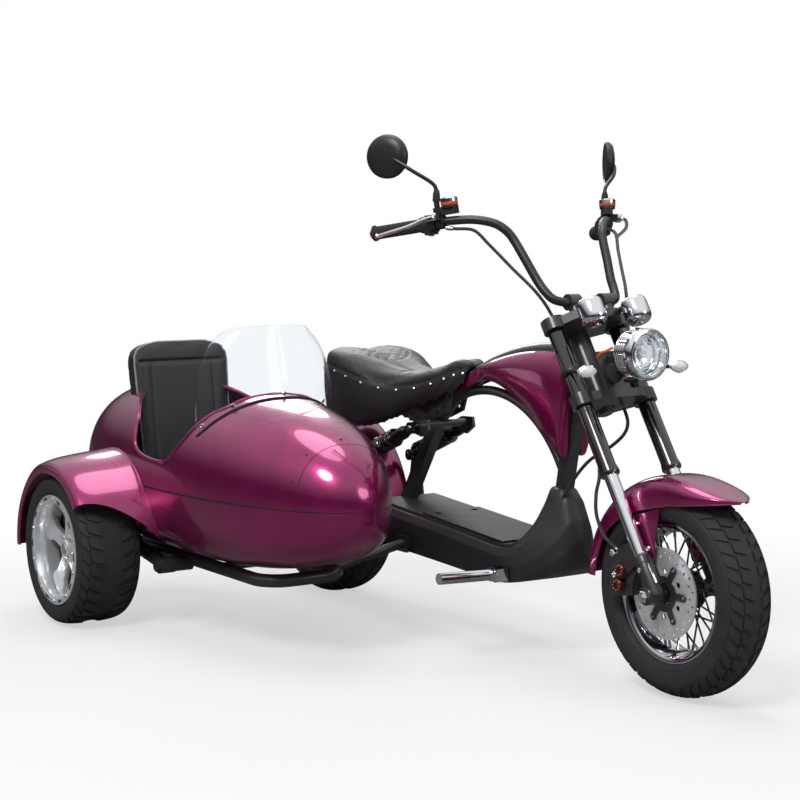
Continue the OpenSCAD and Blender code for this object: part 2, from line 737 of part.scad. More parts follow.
module rear_rim() color(dark_grey) placed() at_rear_axle() difference() {
    union() {
        barrel(rear_rim_w, bead_r, 10, 5);
        across(motor_r, 96);
        across(bead_r - 8, 30);
        across(42, 112);
        across(30, 28, rear_disc_y - 2 - 14);
    }
    across(rear_axle_r + running_gap, 400);
}

module rear_disc() color(silver) placed() at_rear_axle() disc(rear_disc_r, rear_disc_y, 20);

module front_tyre() color(rubber) placed() at_front_axle()
    tyre(front_tyre_w, front_rim_w, tyre_r, bead_r, 1);

hub_flange_y = 30;
hub_flange_r = 44;

module front_rim() color(silver) placed() at_front_axle() {
    barrel(front_rim_w, bead_r, 14, 4);
    difference() {
        union() {
            across(24, 108);
            both() across(hub_flange_r, 6, hub_flange_y);
            across(30, 20, -44);
        }
        across(front_axle_r + running_gap, 400);
    }
    // Crossed spokes: those leaning one way start outside the hub's flange, the rest inside it
    for (side = [-1, 1], k = [0 : spoke_count - 1]) {
        a = 360 / spoke_count * (k + (side > 0 ? 0.5 : 0));
        way = k % 2 ? 1 : -1;
        bar([(hub_flange_r - 5) * cos(a), side * (hub_flange_y + 4.5 * way), (hub_flange_r - 5) * sin(a)],
            [(bead_r - 15) * cos(a + way * 38), side * (8 + 3 * way), (bead_r - 15) * sin(a + way * 38)], 2);
    }
}

front_disc_y = -56;
front_disc_r = 105;

module front_disc() color(silver) placed() at_front_axle() disc(front_disc_r, front_disc_y, 26, 4, 36);

module sidecar_tyre() color(rubber) placed() at_side_axle()
    tyre(side_tyre_w, side_rim_w, side_tyre_r, side_bead_r, 0.6);

side_hub_in = 26;

module sidecar_rim() color(silver) placed() at_side_axle() difference() {
    union() {
        barrel(side_rim_w, side_bead_r, 8, 5);
        across(34, 76, -12);
        across(26, 14, -56);
        for (k = [0 : side_spokes - 1]) rotate([0, 360 / side_spokes * k + 18, 0])
            plate([[28, -19], [28, 19], [92, 15], [side_bead_r - 8, 25], [side_bead_r - 8, -25], [92, -15]],
                20, -36);
    }
    across(side_axle_r + running_gap, 122, 19);
}

// ---------- fork ----------

riser_n = 56;
bar_s = 734;
lamp_plate_n = leg_offset + 34;
clamp_front_n = riser_n + 20;

// A clamp across both tubes and the stem, reaching forward to `front_n` in its middle
module clamp_plate(s, front_n) {
    for (side = [-1, 1]) translate([leg_offset, side * leg_y, s - clamp_t / 2])
        cylinder(h = clamp_t, r = upper_tube_r + 8);
    translate([stem_n, 0, s - clamp_t / 2]) cylinder(h = clamp_t - 2, r = 25);
    translate([0, 0, s - clamp_t / 2 + 4]) linear_extrude(clamp_t - 8) polygon([
        [stem_n - 22, 12], [leg_offset - 18, leg_y + 6], [leg_offset + 20, leg_y + 2],
        [front_n, 62], [front_n, -62], [leg_offset + 20, -leg_y - 2],
        [leg_offset - 18, -leg_y - 6], [stem_n - 22, -12]
    ]);
}

module fork_clamps() color(black) placed() on_fork() difference() {
    union() {
        clamp_plate(lower_clamp_s, lamp_plate_n);
        clamp_plate(top_clamp_s, clamp_front_n);
        for (side = [-1, 1]) translate([riser_n, side * riser_y, top_clamp_s])
            cylinder(h = bar_s - top_clamp_s, r = 15);
        for (side = [-1, 1]) translate([riser_n, 0, bar_s]) across(bar_r + 9, 32, side * riser_y);
        translate([stem_n, 0, lower_clamp_s - clamp_t / 2 - 4])
            cylinder(h = top_clamp_s - lower_clamp_s + clamp_t + 8, r = stem_r);
        // Plate for the headlamp
        translate([lamp_plate_n - 8, -34, lower_clamp_s]) cube([8, 68, 112]);
    }
    for (side = [-1, 1]) translate([leg_offset, side * leg_y, lower_clamp_s - 60])
        cylinder(h = 400, r = upper_tube_r);
    translate([riser_n, 0, bar_s]) across(bar_r, 400);
    // Holes that the brake hose runs through
    translate([hose_hole[0], -hose_hole[1], lower_clamp_s - 60]) cylinder(h = 400, r = hose_r + 2.5);
}

tube_lip = 8;
module fork_tubes() color(black) placed() on_fork() both() translate([leg_offset, leg_y, 0]) {
    translate([0, 0, upper_tube_s]) cylinder(h = top_clamp_s + clamp_t / 2 + 3 - upper_tube_s, r = upper_tube_r);
    translate([0, 0, upper_tube_s - tube_lip]) difference() {
        cylinder(h = 22, r = upper_tube_r + 2.5);
        translate([0, 0, -1]) cylinder(h = tube_lip + 1, r = lower_tube_r);
    }
}

lug_top_s = 92;
foot_r = upper_tube_r - 1;
front_spacer_y = 55;
module fork_legs() color(silver) placed() {
    on_fork() both() {
        translate([leg_offset, leg_y, lug_top_s - 2]) cylinder(h = upper_tube_s - lug_top_s + 2, r = lower_tube_r);
        translate([leg_offset, leg_y, -12]) cylinder(h = lug_top_s + 12, r = foot_r);
        across(foot_r + 1, 2 * foot_r + 4, leg_y);
    }
    // Lug that carries the brake caliper
    at_front_axle() plate([[-50, 64], [-20, 70], [-46, 116], [-128, 76], [-140, 20], [-120, 10]], 8, -(front_caliper_y + 4.1));
    // Axle with its nuts and spacers
    at_front_axle() {
        across(front_axle_r, 2 * (leg_y + foot_r) + 24);
        both() across(13, 8, leg_y + foot_r + 6);
        across(12, leg_y - foot_r - front_spacer_y, (leg_y - foot_r + front_spacer_y) / 2);
        across(12, leg_y - foot_r - 5 - front_spacer_y, -(leg_y - foot_r + 5 + front_spacer_y) / 2);
    }
}

// ---------- handlebar and its controls ----------

// Half of the bar's centre line, in world places: up, out, then pulled back to the grip
bar_foot_y = riser_y + 24;
grip_end = [769, 356, 1056];
grip_start = [908, 268, 1081];
bar_path = smooth([
    fork_point(riser_n, bar_foot_y, bar_s), [1158, 96, 900], [1138, 108, 920], [1117, 115, 946],
    [1088, 127, 993], [1057, 139, 1041], [1040, 152, 1065], [1018, 173, 1082], [984, 209, 1090],
    mix(grip_start, grip_end, -0.24), grip_start, mix(grip_start, grip_end, 0.5), grip_end
], 3);

module handlebar() color(black) placed() {
    on_fork() translate([riser_n, 0, bar_s]) across(bar_r, 2 * bar_foot_y);
    both() sweep(bar_path, bar_r, 12, [0, 0, 1]);
}

grip_r = 16.5;
grip_in_r = bar_r + seat_gap;
grip_axis = unit(grip_end - grip_start);
grip_len = norm(grip_end - grip_start);
grip_from = 30;

// Things on the bar: Z runs out along the grip, origin at the grip's inner end
module on_bar_end() translate(grip_start)
    rotate([0, acos(grip_axis[2]), atan2(grip_axis[1], grip_axis[0])]) children();

module grips() color(rubber) placed() both() on_bar_end() difference() {
    union() {
        translate([0, 0, grip_from]) cylinder(h = grip_len - grip_from + 6, r = grip_r);
        for (z = [grip_from + 5, grip_len - 8]) translate([0, 0, z]) cylinder(h = 6, r = grip_r + 3);
    }
    translate([0, 0, -1]) cylinder(h = grip_len + 1 + seat_gap, r = grip_in_r);
}

// Switch pods next to the grips. The clamp inboard of each carries the brake lever's
// perch in front, the mirror's boss on top, and the fluid cup further in. Local -X is
// up and local -Y is ahead.
perch_z = -14;
module switch_gear() color(black) placed() both() on_bar_end() difference() {
    union() {
        translate([0, 0, -6]) cylinder(h = 34, r = 22);
        translate([-8, -16, 0]) cube([34, 32, 24]);
        translate([0, 0, perch_z - 14]) cylinder(h = 20, r = 17);
        translate([-22, -32, perch_z - 12]) cube([18, 34, 20]);
        translate([-52, 0, perch_z + 2]) rotate([0, 90, 0]) cylinder(h = 40, r = 7);
        translate([-36, -14, -64]) cube([20, 24, 58]);
        translate([-56, -2, -46]) rotate([0, 90, 0]) cylinder(h = 24, r = 20);
    }
    translate([0, 0, -60]) cylinder(h = 60, r = grip_in_r + 0.7);
    translate([0, 0, -1]) cylinder(h = 61, r = grip_in_r);
}

lever_r = 4.5;
module brake_levers() color(silver) placed() both() on_bar_end() {
    lever = smooth([[-13, -32.5, perch_z - 2], [-12, -46, perch_z], [-8, -58, 8], [2, -64, 46], [8, -60, 96],
        [12, -52, 134]], 3);
    sweep(lever, lever_r, 8, [1, 0, 0]);
}

mirror_c = [822, mirror_y, 1244];
mirror_foot = [911.6, 265.8, 1135.4];
module mirrors() color(black) placed() both() {
    stem = smooth([mirror_foot, mirror_foot + [0, 0, 22], [906, 274, 1178], [884, 318, 1208], [857, 343, 1231]], 3);
    sweep(stem, 5, 8, [0, 1, 0]);
    translate(mirror_c) rotate([0, 0, mirror_yaw]) rotate([0, 90, 0]) {
        translate([0, 0, -10]) cylinder(h = 10, r = mirror_r);
        cylinder(h = 14, r1 = mirror_r, r2 = 34);
    }
}

// ---------- lights, gauges and cables ----------

headlight_c = [1398, 0, 777];
headlight_r = 61;
bucket_r = 55;

// Headlamp on its bracket off the fork clamps, with the horn behind it
module headlight() color(silver) placed() {
    translate([headlight_c[0] - 84, 0, headlight_c[2]]) rotate([0, 90, 0]) {
        cylinder(h = 16, r1 = 38, r2 = bucket_r);
        translate([0, 0, 16]) cylinder(h = 42, r = bucket_r);
        translate([0, 0, 58]) cylinder(h = 26, r = headlight_r);
    }
    difference() {
        translate([1248, -12, 742]) cube([80, 24, 26]);
        on_fork() translate([-200, -100, top_clamp_s - 300]) cube([200 + lamp_plate_n, 200, 400]);
    }
}

gauge_n = 126;
gauge_y = 68;
gauge_s = 666;
gauge_r = 32;
gauge_h = 66;
module gauges() color(silver) placed() on_fork() both() {
    translate([gauge_n, gauge_y, gauge_s - gauge_h / 2]) cylinder(h = gauge_h, r = gauge_r);
    translate([clamp_front_n, gauge_y - 22, top_clamp_s - 10])
        cube([gauge_n - gauge_r + 6 - clamp_front_n, 14, 10]);
}

// Turn signals on stalks, each held by a ring round its fork tube
signal_c = [1340, 141, 741];
signal_s = 566;
module turn_signals() color(black) placed() both() {
    translate(signal_c) rotate([0, 90, 0]) {
        translate([0, 0, -22]) cylinder(h = 26, r1 = 6, r2 = 15);
        translate([0, 0, 4]) cylinder(h = 12, r = 15);
    }
    difference() {
        union() {
            on_fork() translate([leg_offset, leg_y, signal_s - 7]) cylinder(h = 14, r = upper_tube_r + 4);
            bar(fork_point(leg_offset + 10, leg_y + 20, signal_s), signal_c - [10, 0, 0], 5);
        }
        on_fork() translate([leg_offset, leg_y, signal_s - 60]) cylinder(h = 120, r = upper_tube_r + running_gap);
    }
}

// Brake hose from the right lever, through the clamps, to the front caliper, and the
// cable from the left lever to the headlamp
hose_hole = [-10, 66];
hose_r = 3.5;
module control_cables() color(black) placed() {
    hose = smooth([[935, -251, 1070], [950, -236, 1068], [977, -200, 1064], [998, -170, 1030], [1038, -130, 973],
        [1088, -90, 911], fork_point(hose_hole[0], -hose_hole[1], 724), fork_point(hose_hole[0], -hose_hole[1], 600),
        fork_point(hose_hole[0], -hose_hole[1], 462), [1322, -86, 510], [1316, -90, 450], [1318, -90, 401],
        [1340, -86, 356], [1363, -78, 335], [1387, -76, 321]], 5);
    sweep(hose, hose_r, 8, [0, 1, 0]);
    cable = smooth([[935, 251, 1070], [950, 236, 1068], [990, 214, 1068], [1051, 186, 1055], [1091, 160, 1016],
        [1140, 130, 972], [1185, 106, 920], [1201, 98, 863], [1226, 80, 826], [1262, 48, 800], [1292, 30, 791],
        [1313.5, 26, 789]], 4);
    sweep(cable, hose_r, 8, [0, 1, 0]);
}

// Wires that hang in a loop from the lower clamp to the nose of the floor pan
module wiring_loop() color(black) placed() {
    loop = smooth([fork_point(-6, 40, lower_clamp_s - 15.3), [1277, 38, 608], [1272, 30, 578], [1243, 12, 546],
        [1209, 0, 525], [1179, -12, 498], [1146, -20, 459], [1111.5, -27, 409]], 4);
    sweep(loop, 4, 8, [0, 1, 0]);
}

// ---------- front fender ----------

// Stations of the front fender: [angle up from the front, crown radius, half width, skirt depth]
front_fender_stations = smooth([
    [50, 299, 9, 5], [53, 292, 36, 13], [57, 285, 56, 22], [63, 278, 69, 35], [72, 272, 75, 50],
    [82, 270, 75, 61], [92, 269, 75, 70], [104, 268, 75, 72], [118, 268, 75, 68], [132, 268, 75, 58],
    [150, 268, 75, 46], [165, 268, 75, 42], [178, 268, 75, 40]
], 2);
fender_square = 0.55;

// One side of the fender's skin, drawn in by `t`
function fender_grid(stations, t) = [
    for (s = stations) [
        for (b = [0 : 15 : 180])
            let (r = s[1] - t - (s[3] - t * 0.6) * (1 - power(sin(b), fender_square)))
            [r * cos(s[0]), -(s[2] - t) * power(cos(b), fender_square), r * sin(s[0])]
    ]
];

// Under the skirt on each side a lobe runs down inside the fork leg, bolted to its foot
lobe_top_r = 195.4;
lobe_y = leg_y - foot_r - 1.6;
module front_fender() color(magenta) placed() at_front_axle() {
    skin(fender_grid(front_fender_stations, 0), fender_grid(front_fender_stations, 3));
    both() intersection() {
        plate([[0, 230], [-8, 150], [-18, 92], [-24, 50], [-44, 46], [-62, 84], [-104, 160], [-150, 220]], 3, lobe_y);
        across(lobe_top_r, 300);
    }
}

front_caliper_y = 88;
module front_caliper() color(black) placed() at_front_axle() {
    caliper(front_disc_r, front_disc_y, 14, -front_caliper_y, -42, 146, 190, 50);
    // Outer half, standing proud of the rim
    rotate([90, 0, 0]) rotate([0, 0, 146]) translate([0, 0, front_caliper_y - 18])
        rotate_extrude(angle = 44) translate([front_disc_r + 18, 0]) square([30, 18]);
}

// ---------- sidecar ----------

tub_mid_x = 250;
nose_round = 2.1;
tail_round = 3.7;
top_nose_round = 2.2;
top_tail_round = 3.8;
floor_along_round = 2.6;
across_round = 2.3;
floor_round = 2.8;

// How far a point at x lies from the body's middle, as a share of the way to its end
function tub_share(x, t) = x > tub_mid_x ? (x - tub_mid_x) / (tub_nose_x - t - tub_mid_x)
    : (tub_mid_x - x) / (tub_mid_x - tub_tail_x - t);
function fall(s, e) = pow(max(0, 1 - pow(min(s, 1), e)), 1 / e);
function tub_half(x, t) = (tub_w - t) * fall(tub_share(x, t), x > tub_mid_x ? nose_round : tail_round);
function tub_high(x, t) = (tub_rise - t) * fall(tub_share(x, t), x > tub_mid_x ? top_nose_round : top_tail_round);
function tub_deep(x, t) = (tub_drop - t) * fall(tub_share(x, t), floor_along_round);

// Height of the body's top on its outer face, of its floor inside, and its half width
// at a height
function tub_top(x, y) = seam_z + tub_high(x, 0) * fall(abs(y) / max(tub_half(x, 0), 1), across_round);
function tub_floor(x, y) = seam_z
    - tub_deep(x, tub_wall) * fall(abs(y) / tub_half(x, tub_wall), floor_round);
function tub_flank(x, z) = tub_half(x, 0)
    * (z > seam_z ? fall((z - seam_z) / max(tub_high(x, 0), 1), across_round)
        : fall((seam_z - z) / max(tub_deep(x, 0), 1), floor_round));

// A point on the body's surface, drawn in by `t`. `along` runs from -90 at the tail to
// 90 at the nose, and `turn` from 0 on the motorcycle's side over the top to 180.
function tub_point(along, turn, t) =
    let (
        e = along > 0 ? nose_round : tail_round,
        s = pow(abs(sin(along)), 2 / e),
        x = tub_mid_x + (along > 0 ? tub_nose_x - t - tub_mid_x : tub_tail_x + t - tub_mid_x) * s,
        w = (tub_w - t) * pow(abs(cos(along)), 2 / e),
        h = turn <= 180 ? tub_high(x, t) : tub_deep(x, t),
        c = 2 / (turn <= 180 ? across_round : floor_round)
    )
    [x, -tub_y + w * power(cos(turn), c), seam_z + h * power(sin(turn), c)];

function tub_grid(from, to, rows, turn_from, turn_to, cols, t) = [
    for (i = [0 : rows])
        [for (j = [0 : cols]) tub_point(mix(from, to, i / rows), mix(turn_from, turn_to, j / cols), t)]
];

nose_seam = 57;
tub_rows = 22;
tub_cols = 20;

// Side view of the cockpit's opening
cockpit = smooth([[-104, 780], [-94, 642], [-24, 612], [60, 570], [102, 522], [128, 488], [190, 468],
    [290, 462], [335, 478], [375, 522], [424, 590], [466, 632], [492, 780]], 3);

module sidecar_body_upper() color(magenta) placed() difference() {
    skin(tub_grid(-90, nose_seam, tub_rows, 0, 180, tub_cols, 0),
        tub_grid(-90, nose_seam, tub_rows, 0, 180, tub_cols, tub_wall), pole_first = true);
    plate(cockpit, 1000, -tub_y);
    translate([-132, -tub_y - seat_w - 11, 560]) cube([98, 2 * seat_w + 22, 200]);
}

module sidecar_nose() color(magenta) placed()
    skin(tub_grid(nose_seam + 0.1, 90, 6, 0, 180, tub_cols, 0),
        tub_grid(nose_seam + 0.1, 90, 6, 0, 180, tub_cols, tub_wall), pole_last = true);

module sidecar_body_lower() color(magenta) placed()
    skin(tub_grid(-90, 90, 26, 180, 360, 16, 0), tub_grid(-90, 90, 26, 180, 360, 16, tub_wall),
        pole_first = true, pole_last = true);

// Seat base on its box, and the tall back cushion
seat_w = 157;
seat_top_z = 352;
back_x = -5;
back_low_z = 330;
back_h = 440;
back_t = 58;
back_tilt = 8;
function rounded_top(w, h, e) = [for (a = [0 : 10 : 180]) [w * power(cos(a), e), h - 90 + 90 * power(sin(a), e)]];

module sidecar_seat() color(leather) placed() {
    translate([back_x + seat_gap, -tub_y - seat_w, seat_top_z - 70]) cube([346 - back_x, 2 * seat_w, 70]);
    floor_z = tub_floor(110, 90) + 7 * seat_gap;
    translate([110, -tub_y - 90, floor_z]) cube([220, 180, seat_top_z - 69 - floor_z]);
}

module sidecar_seat_back() color(leather) placed() translate([back_x, -tub_y, back_low_z]) rotate([0, -back_tilt, 0])
    rotate([90, 0, -90]) linear_extrude(back_t)
        polygon(concat([[seat_w - 14, 0]], rounded_top(seat_w, back_h, 0.55), [[14 - seat_w, 0]]));

screen_rows = 8;
screen_cols = 14;
screen_foot_w = 205;
screen_top_w = 133;
screen_bow = 62;
screen_foot_x = 428;

// A point on the windscreen, pushed out by `t`: rows run up it and columns across it
function screen_point(i, j, t) =
    let (
        v = i / screen_rows,
        a = mix(-screen_bow, screen_bow, j / screen_cols),
        w = mix(screen_foot_w, screen_top_w, pow(v, 3.4)) / sin(screen_bow),
        x = mix(screen_foot_x, 408, v) + mix(92, 70, v) * (cos(a) - cos(screen_bow)) / (1 - cos(screen_bow)) + t * cos(a),
        y = (w + t) * sin(a)
    )
    [x, -tub_y + y, mix(tub_top(x, y) + 0.8, 820 - 17 * pow(a / screen_bow, 4), v)];

function screen_grid(t) = [
    for (i = [0 : screen_rows]) [for (j = [0 : screen_cols]) screen_point(i, j, t)]
];

module windscreen() color(clear, 0.35) placed() skin(screen_grid(3), screen_grid(0));

// Wing over the sidecar wheel. It runs from a turned-down outer lip to the body's flank,
// and its front edge sweeps down as it nears the body.
wing_profile = smooth([[0, 212], [0, 226], [0.05, 238], [0.22, 248], [0.5, 256], [0.8, 262], [1, 267]], 2);
wing_rear = 184;
wing_rows = 22;
function wing_point(i, q, t) =
    let (
        a = mix(38 - 27 * q[0] * q[0], wing_rear, i / wing_rows),
        r = q[1] - t,
        x = side_lead + r * cos(a),
        z = side_tyre_r + r * sin(a),
        inner = -tub_y - max(tub_flank(x, z), 236) - seat_gap,
        outer = -fender_lip_y + t
    )
    [x, mix(outer, min(inner, -tub_y - 205), q[0]), z];
function wing_grid(t) = [for (i = [0 : wing_rows]) [for (q = wing_profile) wing_point(i, q, t)]];

module sidecar_fender() color(magenta) placed() skin(wing_grid(0), wing_grid(3));

// Chassis: a looped tube under the body with cross tubes, pads, and outriggers that
// reach the motorcycle's rails and post
loop_r = 17;
loop_z = 182;
loop_y = 118;
loop_corner = 70;
loop_front_x = 632;
loop_rear_x = -190;
cross_r = 11;
cross_z = 178;
arm_pivot = [214, 172];
side_arm_y = 662;
side_arm_w = 44;
shock_side_y = 622;
side_shock_top = [-120, 200];
side_shock_low = [70, 178];

module loop_half() {
    translate([loop_rear_x, -loop_y, 0]) rotate([0, 90, 0]) cylinder(h = loop_front_x - loop_corner - loop_rear_x, r = loop_r);
    translate([loop_front_x - loop_corner, -loop_y + loop_corner, 0]) rotate([0, 0, -90])
        rotate_extrude(angle = 90) translate([loop_corner, 0]) circle(r = loop_r);
}

module sidecar_chassis() color(black) placed() {
    translate([0, -tub_y, loop_z]) {
        loop_half();
        mirror([0, 1, 0]) loop_half();
        translate([loop_front_x, 0, 0]) across(loop_r, 2 * (loop_y - loop_corner));
    }
    // Cross tubes, with pads under the body's lowest line
    for (x = [loop_rear_x + 18, 150, 350]) translate([x, -tub_y, cross_z]) across(cross_r, 2 * loop_y);
    for (x = [150, 350]) translate([x, -tub_y, cross_z]) cylinder(h = seam_z - tub_drop - cross_z - 0.2, r = 16);
    // Outriggers to the rails inside the floor pan
    for (x = mount_x) {
        y_end = -pan_y - seat_gap;
        translate([x, 0, 0]) {
            bar([0, -tub_y + loop_y - 4, loop_z + 2], [0, y_end - 6, rail_low + 14], 13);
            translate([-22, y_end - 8, rail_low - 8]) cube([44, 8, 44]);
            translate([0, 0, rail_low + rail_h / 2]) across(mount_bolt_r, pan_y - rail_y + 2, -(pan_y + rail_y) / 2 - 1);
        }
    }
    // Bracket and pin for the trailing arm
    translate([arm_pivot[0], 0, arm_pivot[1]]) {
        across(20, side_arm_y - side_arm_w / 2 - 0.5 - tub_y - loop_y, -(side_arm_y - side_arm_w / 2 - 0.5 + tub_y + loop_y) / 2);
        across(9, 110, -side_arm_y + 26);
        across(16, 8, -side_arm_y - side_arm_w / 2 - 4.5);
    }
    // Lug for the upper end of the shock
    difference() {
        translate([side_shock_top[0] - 14, -shock_side_y + 12, loop_z - 8])
            cube([28, shock_side_y - 12 - tub_y - loop_y + 6, 40]);
        translate([side_shock_top[0], 0, side_shock_top[1]]) across(4.5, 2000);
    }
    translate([side_shock_top[0], 0, side_shock_top[1]]) across(4.5, 44, -shock_side_y + 6);
}

module sidecar_swingarm() color(black) placed() {
    difference() {
        union() {
            translate([arm_pivot[0], 0, arm_pivot[1]]) across(22, side_arm_w, -side_arm_y);
            bar([arm_pivot[0], -side_arm_y, arm_pivot[1]], [side_lead, -side_arm_y, side_tyre_r], 19);
            at_side_axle() across(23, side_arm_w, side_track - side_arm_y);
        }
        translate([arm_pivot[0], 0, arm_pivot[1]]) across(9, 2000);
    }
    // Stub axle with its shoulder
    at_side_axle() {
        across(side_axle_r, side_track - side_arm_y + 40, (side_track - side_arm_y - 40) / 2);
        across(17, side_track - side_arm_y - side_hub_in - side_arm_w / 2 + 0.9,
            (side_track - side_arm_y - side_arm_w / 2 + side_hub_in + 1.1) / 2);
    }
    // Lug and bolt for the lower end of the shock
    difference() {
        translate([side_shock_low[0] - 14, -side_arm_y + 10, side_shock_low[1] - 14])
            cube([28, side_arm_y - 10 - shock_side_y - 11.5, 28]);
        translate([side_shock_low[0], 0, side_shock_low[1]]) across(4.5, 2000);
    }
    translate([side_shock_low[0], 0, side_shock_low[1]]) across(4.5, 44, -shock_side_y - 10);
}

side_shock_len = norm(side_shock_top - side_shock_low);
module sidecar_shock() color(black) placed()
    translate([side_shock_low[0], -shock_side_y, side_shock_low[1]])
        rotate([0, atan2(side_shock_top[0] - side_shock_low[0], side_shock_top[1] - side_shock_low[1]), 0])
            shock_unit(side_shock_len, 4.5, 14);

main_frame();
floor_pan();
battery_lid();
battery_block();
tank_panels();
saddle();
saddle_bracket();
swingarm();
rear_shocks();
rear_fender();
tail_light();
foot_pegs();
rear_caliper();
wiring_loop();
rear_tyre();
rear_rim();
rear_disc();
sidecar_chassis();
sidecar_body_upper();
sidecar_body_lower();
sidecar_nose();
sidecar_seat();
sidecar_seat_back();
windscreen();
sidecar_fender();
sidecar_swingarm();
sidecar_shock();
sidecar_tyre();
sidecar_rim();
fork_clamps();
fork_tubes();
fork_legs();
handlebar();
grips();
brake_levers();
switch_gear();
mirrors();
headlight();
gauges();
turn_signals();
front_fender();
front_caliper();
control_cables();
front_tyre();
front_rim();
front_disc();
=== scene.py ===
"""Looks for the sidecar motorcycle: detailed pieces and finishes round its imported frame.

Shapes are laid out in millimetres from the point on the ground under the rear axle,
X forward, Y to the rider's left and Z up, and moved into the frame when a piece is made.
"""

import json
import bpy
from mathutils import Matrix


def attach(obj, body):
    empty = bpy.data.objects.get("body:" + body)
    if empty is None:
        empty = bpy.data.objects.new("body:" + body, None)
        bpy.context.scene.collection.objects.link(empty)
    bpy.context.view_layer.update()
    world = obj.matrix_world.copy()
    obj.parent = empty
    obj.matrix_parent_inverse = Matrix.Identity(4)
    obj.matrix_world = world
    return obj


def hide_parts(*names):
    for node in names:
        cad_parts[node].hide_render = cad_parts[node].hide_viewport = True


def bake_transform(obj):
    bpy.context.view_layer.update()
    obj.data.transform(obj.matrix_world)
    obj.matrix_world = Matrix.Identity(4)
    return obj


bl_info = {
    "name": "Sidecar motorcycle looks",
    "version": (1, 0, 0),
    "blender": (4, 5, 0),
    "location": "3D View > Sidebar > Sidecar",
    "description": "Detailed bodywork, wheels, seats and fittings for a sidecar motorcycle",
    "category": "Add Mesh",
}

from math import acos, atan2, cos, hypot, pi, radians, sin

import bmesh
import bpy
from bpy.props import FloatProperty, IntProperty, PointerProperty, StringProperty
from mathutils import Matrix, Vector

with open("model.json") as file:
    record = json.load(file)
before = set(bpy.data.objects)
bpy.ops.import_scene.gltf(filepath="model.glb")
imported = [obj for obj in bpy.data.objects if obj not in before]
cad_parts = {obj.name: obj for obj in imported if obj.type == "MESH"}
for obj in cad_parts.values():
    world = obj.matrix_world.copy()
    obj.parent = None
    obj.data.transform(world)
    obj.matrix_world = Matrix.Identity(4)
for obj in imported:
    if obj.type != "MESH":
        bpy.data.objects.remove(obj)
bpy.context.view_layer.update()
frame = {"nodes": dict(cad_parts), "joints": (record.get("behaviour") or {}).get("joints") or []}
JOINTS = {joint["name"]: joint for joint in frame["joints"]}
REAR_AXLE = Vector(JOINTS["rear_wheel_spin"]["pos_m"])
FRONT_AXLE = Vector(JOINTS["front_wheel_spin"]["pos_m"])
SIDE_AXLE = Vector(JOINTS["sidecar_wheel_spin"]["pos_m"])
STEER_AXIS = Vector(JOINTS["steering"]["axis"])
HOME = Vector((REAR_AXLE.x, REAR_AXLE.y, 0))
TO_FRAME = Matrix.Translation(HOME) @ Matrix.Scale(0.001, 4)
FROM_FRAME = TO_FRAME.inverted()


def in_mm(point):
    """A point of the frame in millimetres from the rear axle's foot."""
    return FROM_FRAME @ Vector(point)


# Axles in millimetres, and the fork's own frame: Z up the legs, X ahead of them
REAR = in_mm(REAR_AXLE)
FRONT = in_mm(FRONT_AXLE)
SIDE = in_mm(SIDE_AXLE)
RAKE = abs(atan2(STEER_AXIS.x, STEER_AXIS.z))
ON_FORK = Matrix.Translation(FRONT) @ Matrix.Rotation(-RAKE, 4, "Y")
TUB_Y = -470.0


# ---------- settings ----------


class SidecarSizes(bpy.types.PropertyGroup):
    """Sizes of the details, in millimetres"""

    tread_depth: FloatProperty(name="Tread depth", description="Depth of the tyres' grooves", default=4.5, min=1,
                               max=7)
    front_blocks: IntProperty(name="Front tread blocks", description="Tread blocks on each side of the front tyre",
                              default=44, min=20, max=80)
    rear_blocks: IntProperty(name="Rear tread blocks", description="Tread blocks on each side of the rear tyre",
                             default=40, min=20, max=80)
    side_blocks: IntProperty(name="Sidecar tread blocks",
                             description="Tread blocks on each side of the sidecar tyre", default=34, min=20, max=80)
    piping_r: FloatProperty(name="Piping radius", description="Radius of the welt round the cushions", default=3.0,
                            min=1, max=6)
    spring_wire: FloatProperty(name="Spring wire", description="Radius of the shock springs' wire", default=3.8,
                               min=2, max=5)
    hem_r: FloatProperty(name="Cockpit hem", description="Radius of the painted hem round the cockpit", default=4.5,
                         min=2, max=8)


class SidecarColours(bpy.types.PropertyGroup):
    """Colours as sRGB hex values"""

    paint: StringProperty(name="Body paint", description="Candy lacquer of the bodywork", default="#8c1658")
    frame_black: StringProperty(name="Frame", description="Powder coat of the frame and forks", default="#2a2b2d")
    plastic: StringProperty(name="Plastic", description="Moulded plastic of the floor and pods", default="#202023")
    leather: StringProperty(name="Seat leather", description="Leather of the saddle and the sidecar seat",
                            default="#1f1f22")
    piping: StringProperty(name="Piping", description="Welt and thread of the seats", default="#8a8a8f")
    tyre: StringProperty(name="Tyres", description="Tyre rubber", default="#242527")


def colour(name):
    """One of the colours from the panel."""
    return getattr(bpy.context.scene.sidecar_colours, name)


def size(name):
    """One of the sizes from the panel."""
    return getattr(bpy.context.scene.sidecar_sizes, name)


# ---------- finishes ----------


def linear(code):
    """An sRGB hex colour as linear RGBA."""
    parts = [int(code.lstrip("#")[i : i + 2], 16) / 255 for i in (0, 2, 4)]
    return [c / 12.92 if c <= 0.04045 else ((c + 0.055) / 1.055) ** 2.4 for c in parts] + [1.0]


def add_node(tree, kind, links=None, **settings):
    """Adds a node with its settings; `links` gives each input a value or another node's output."""
    new = tree.nodes.new(kind)
    for key, value in settings.items():
        setattr(new, key, value)
    for key, value in (links or {}).items():
        if isinstance(value, bpy.types.NodeSocket):
            tree.links.new(value, new.inputs[key])
        else:
            new.inputs[key].default_value = value
    return new


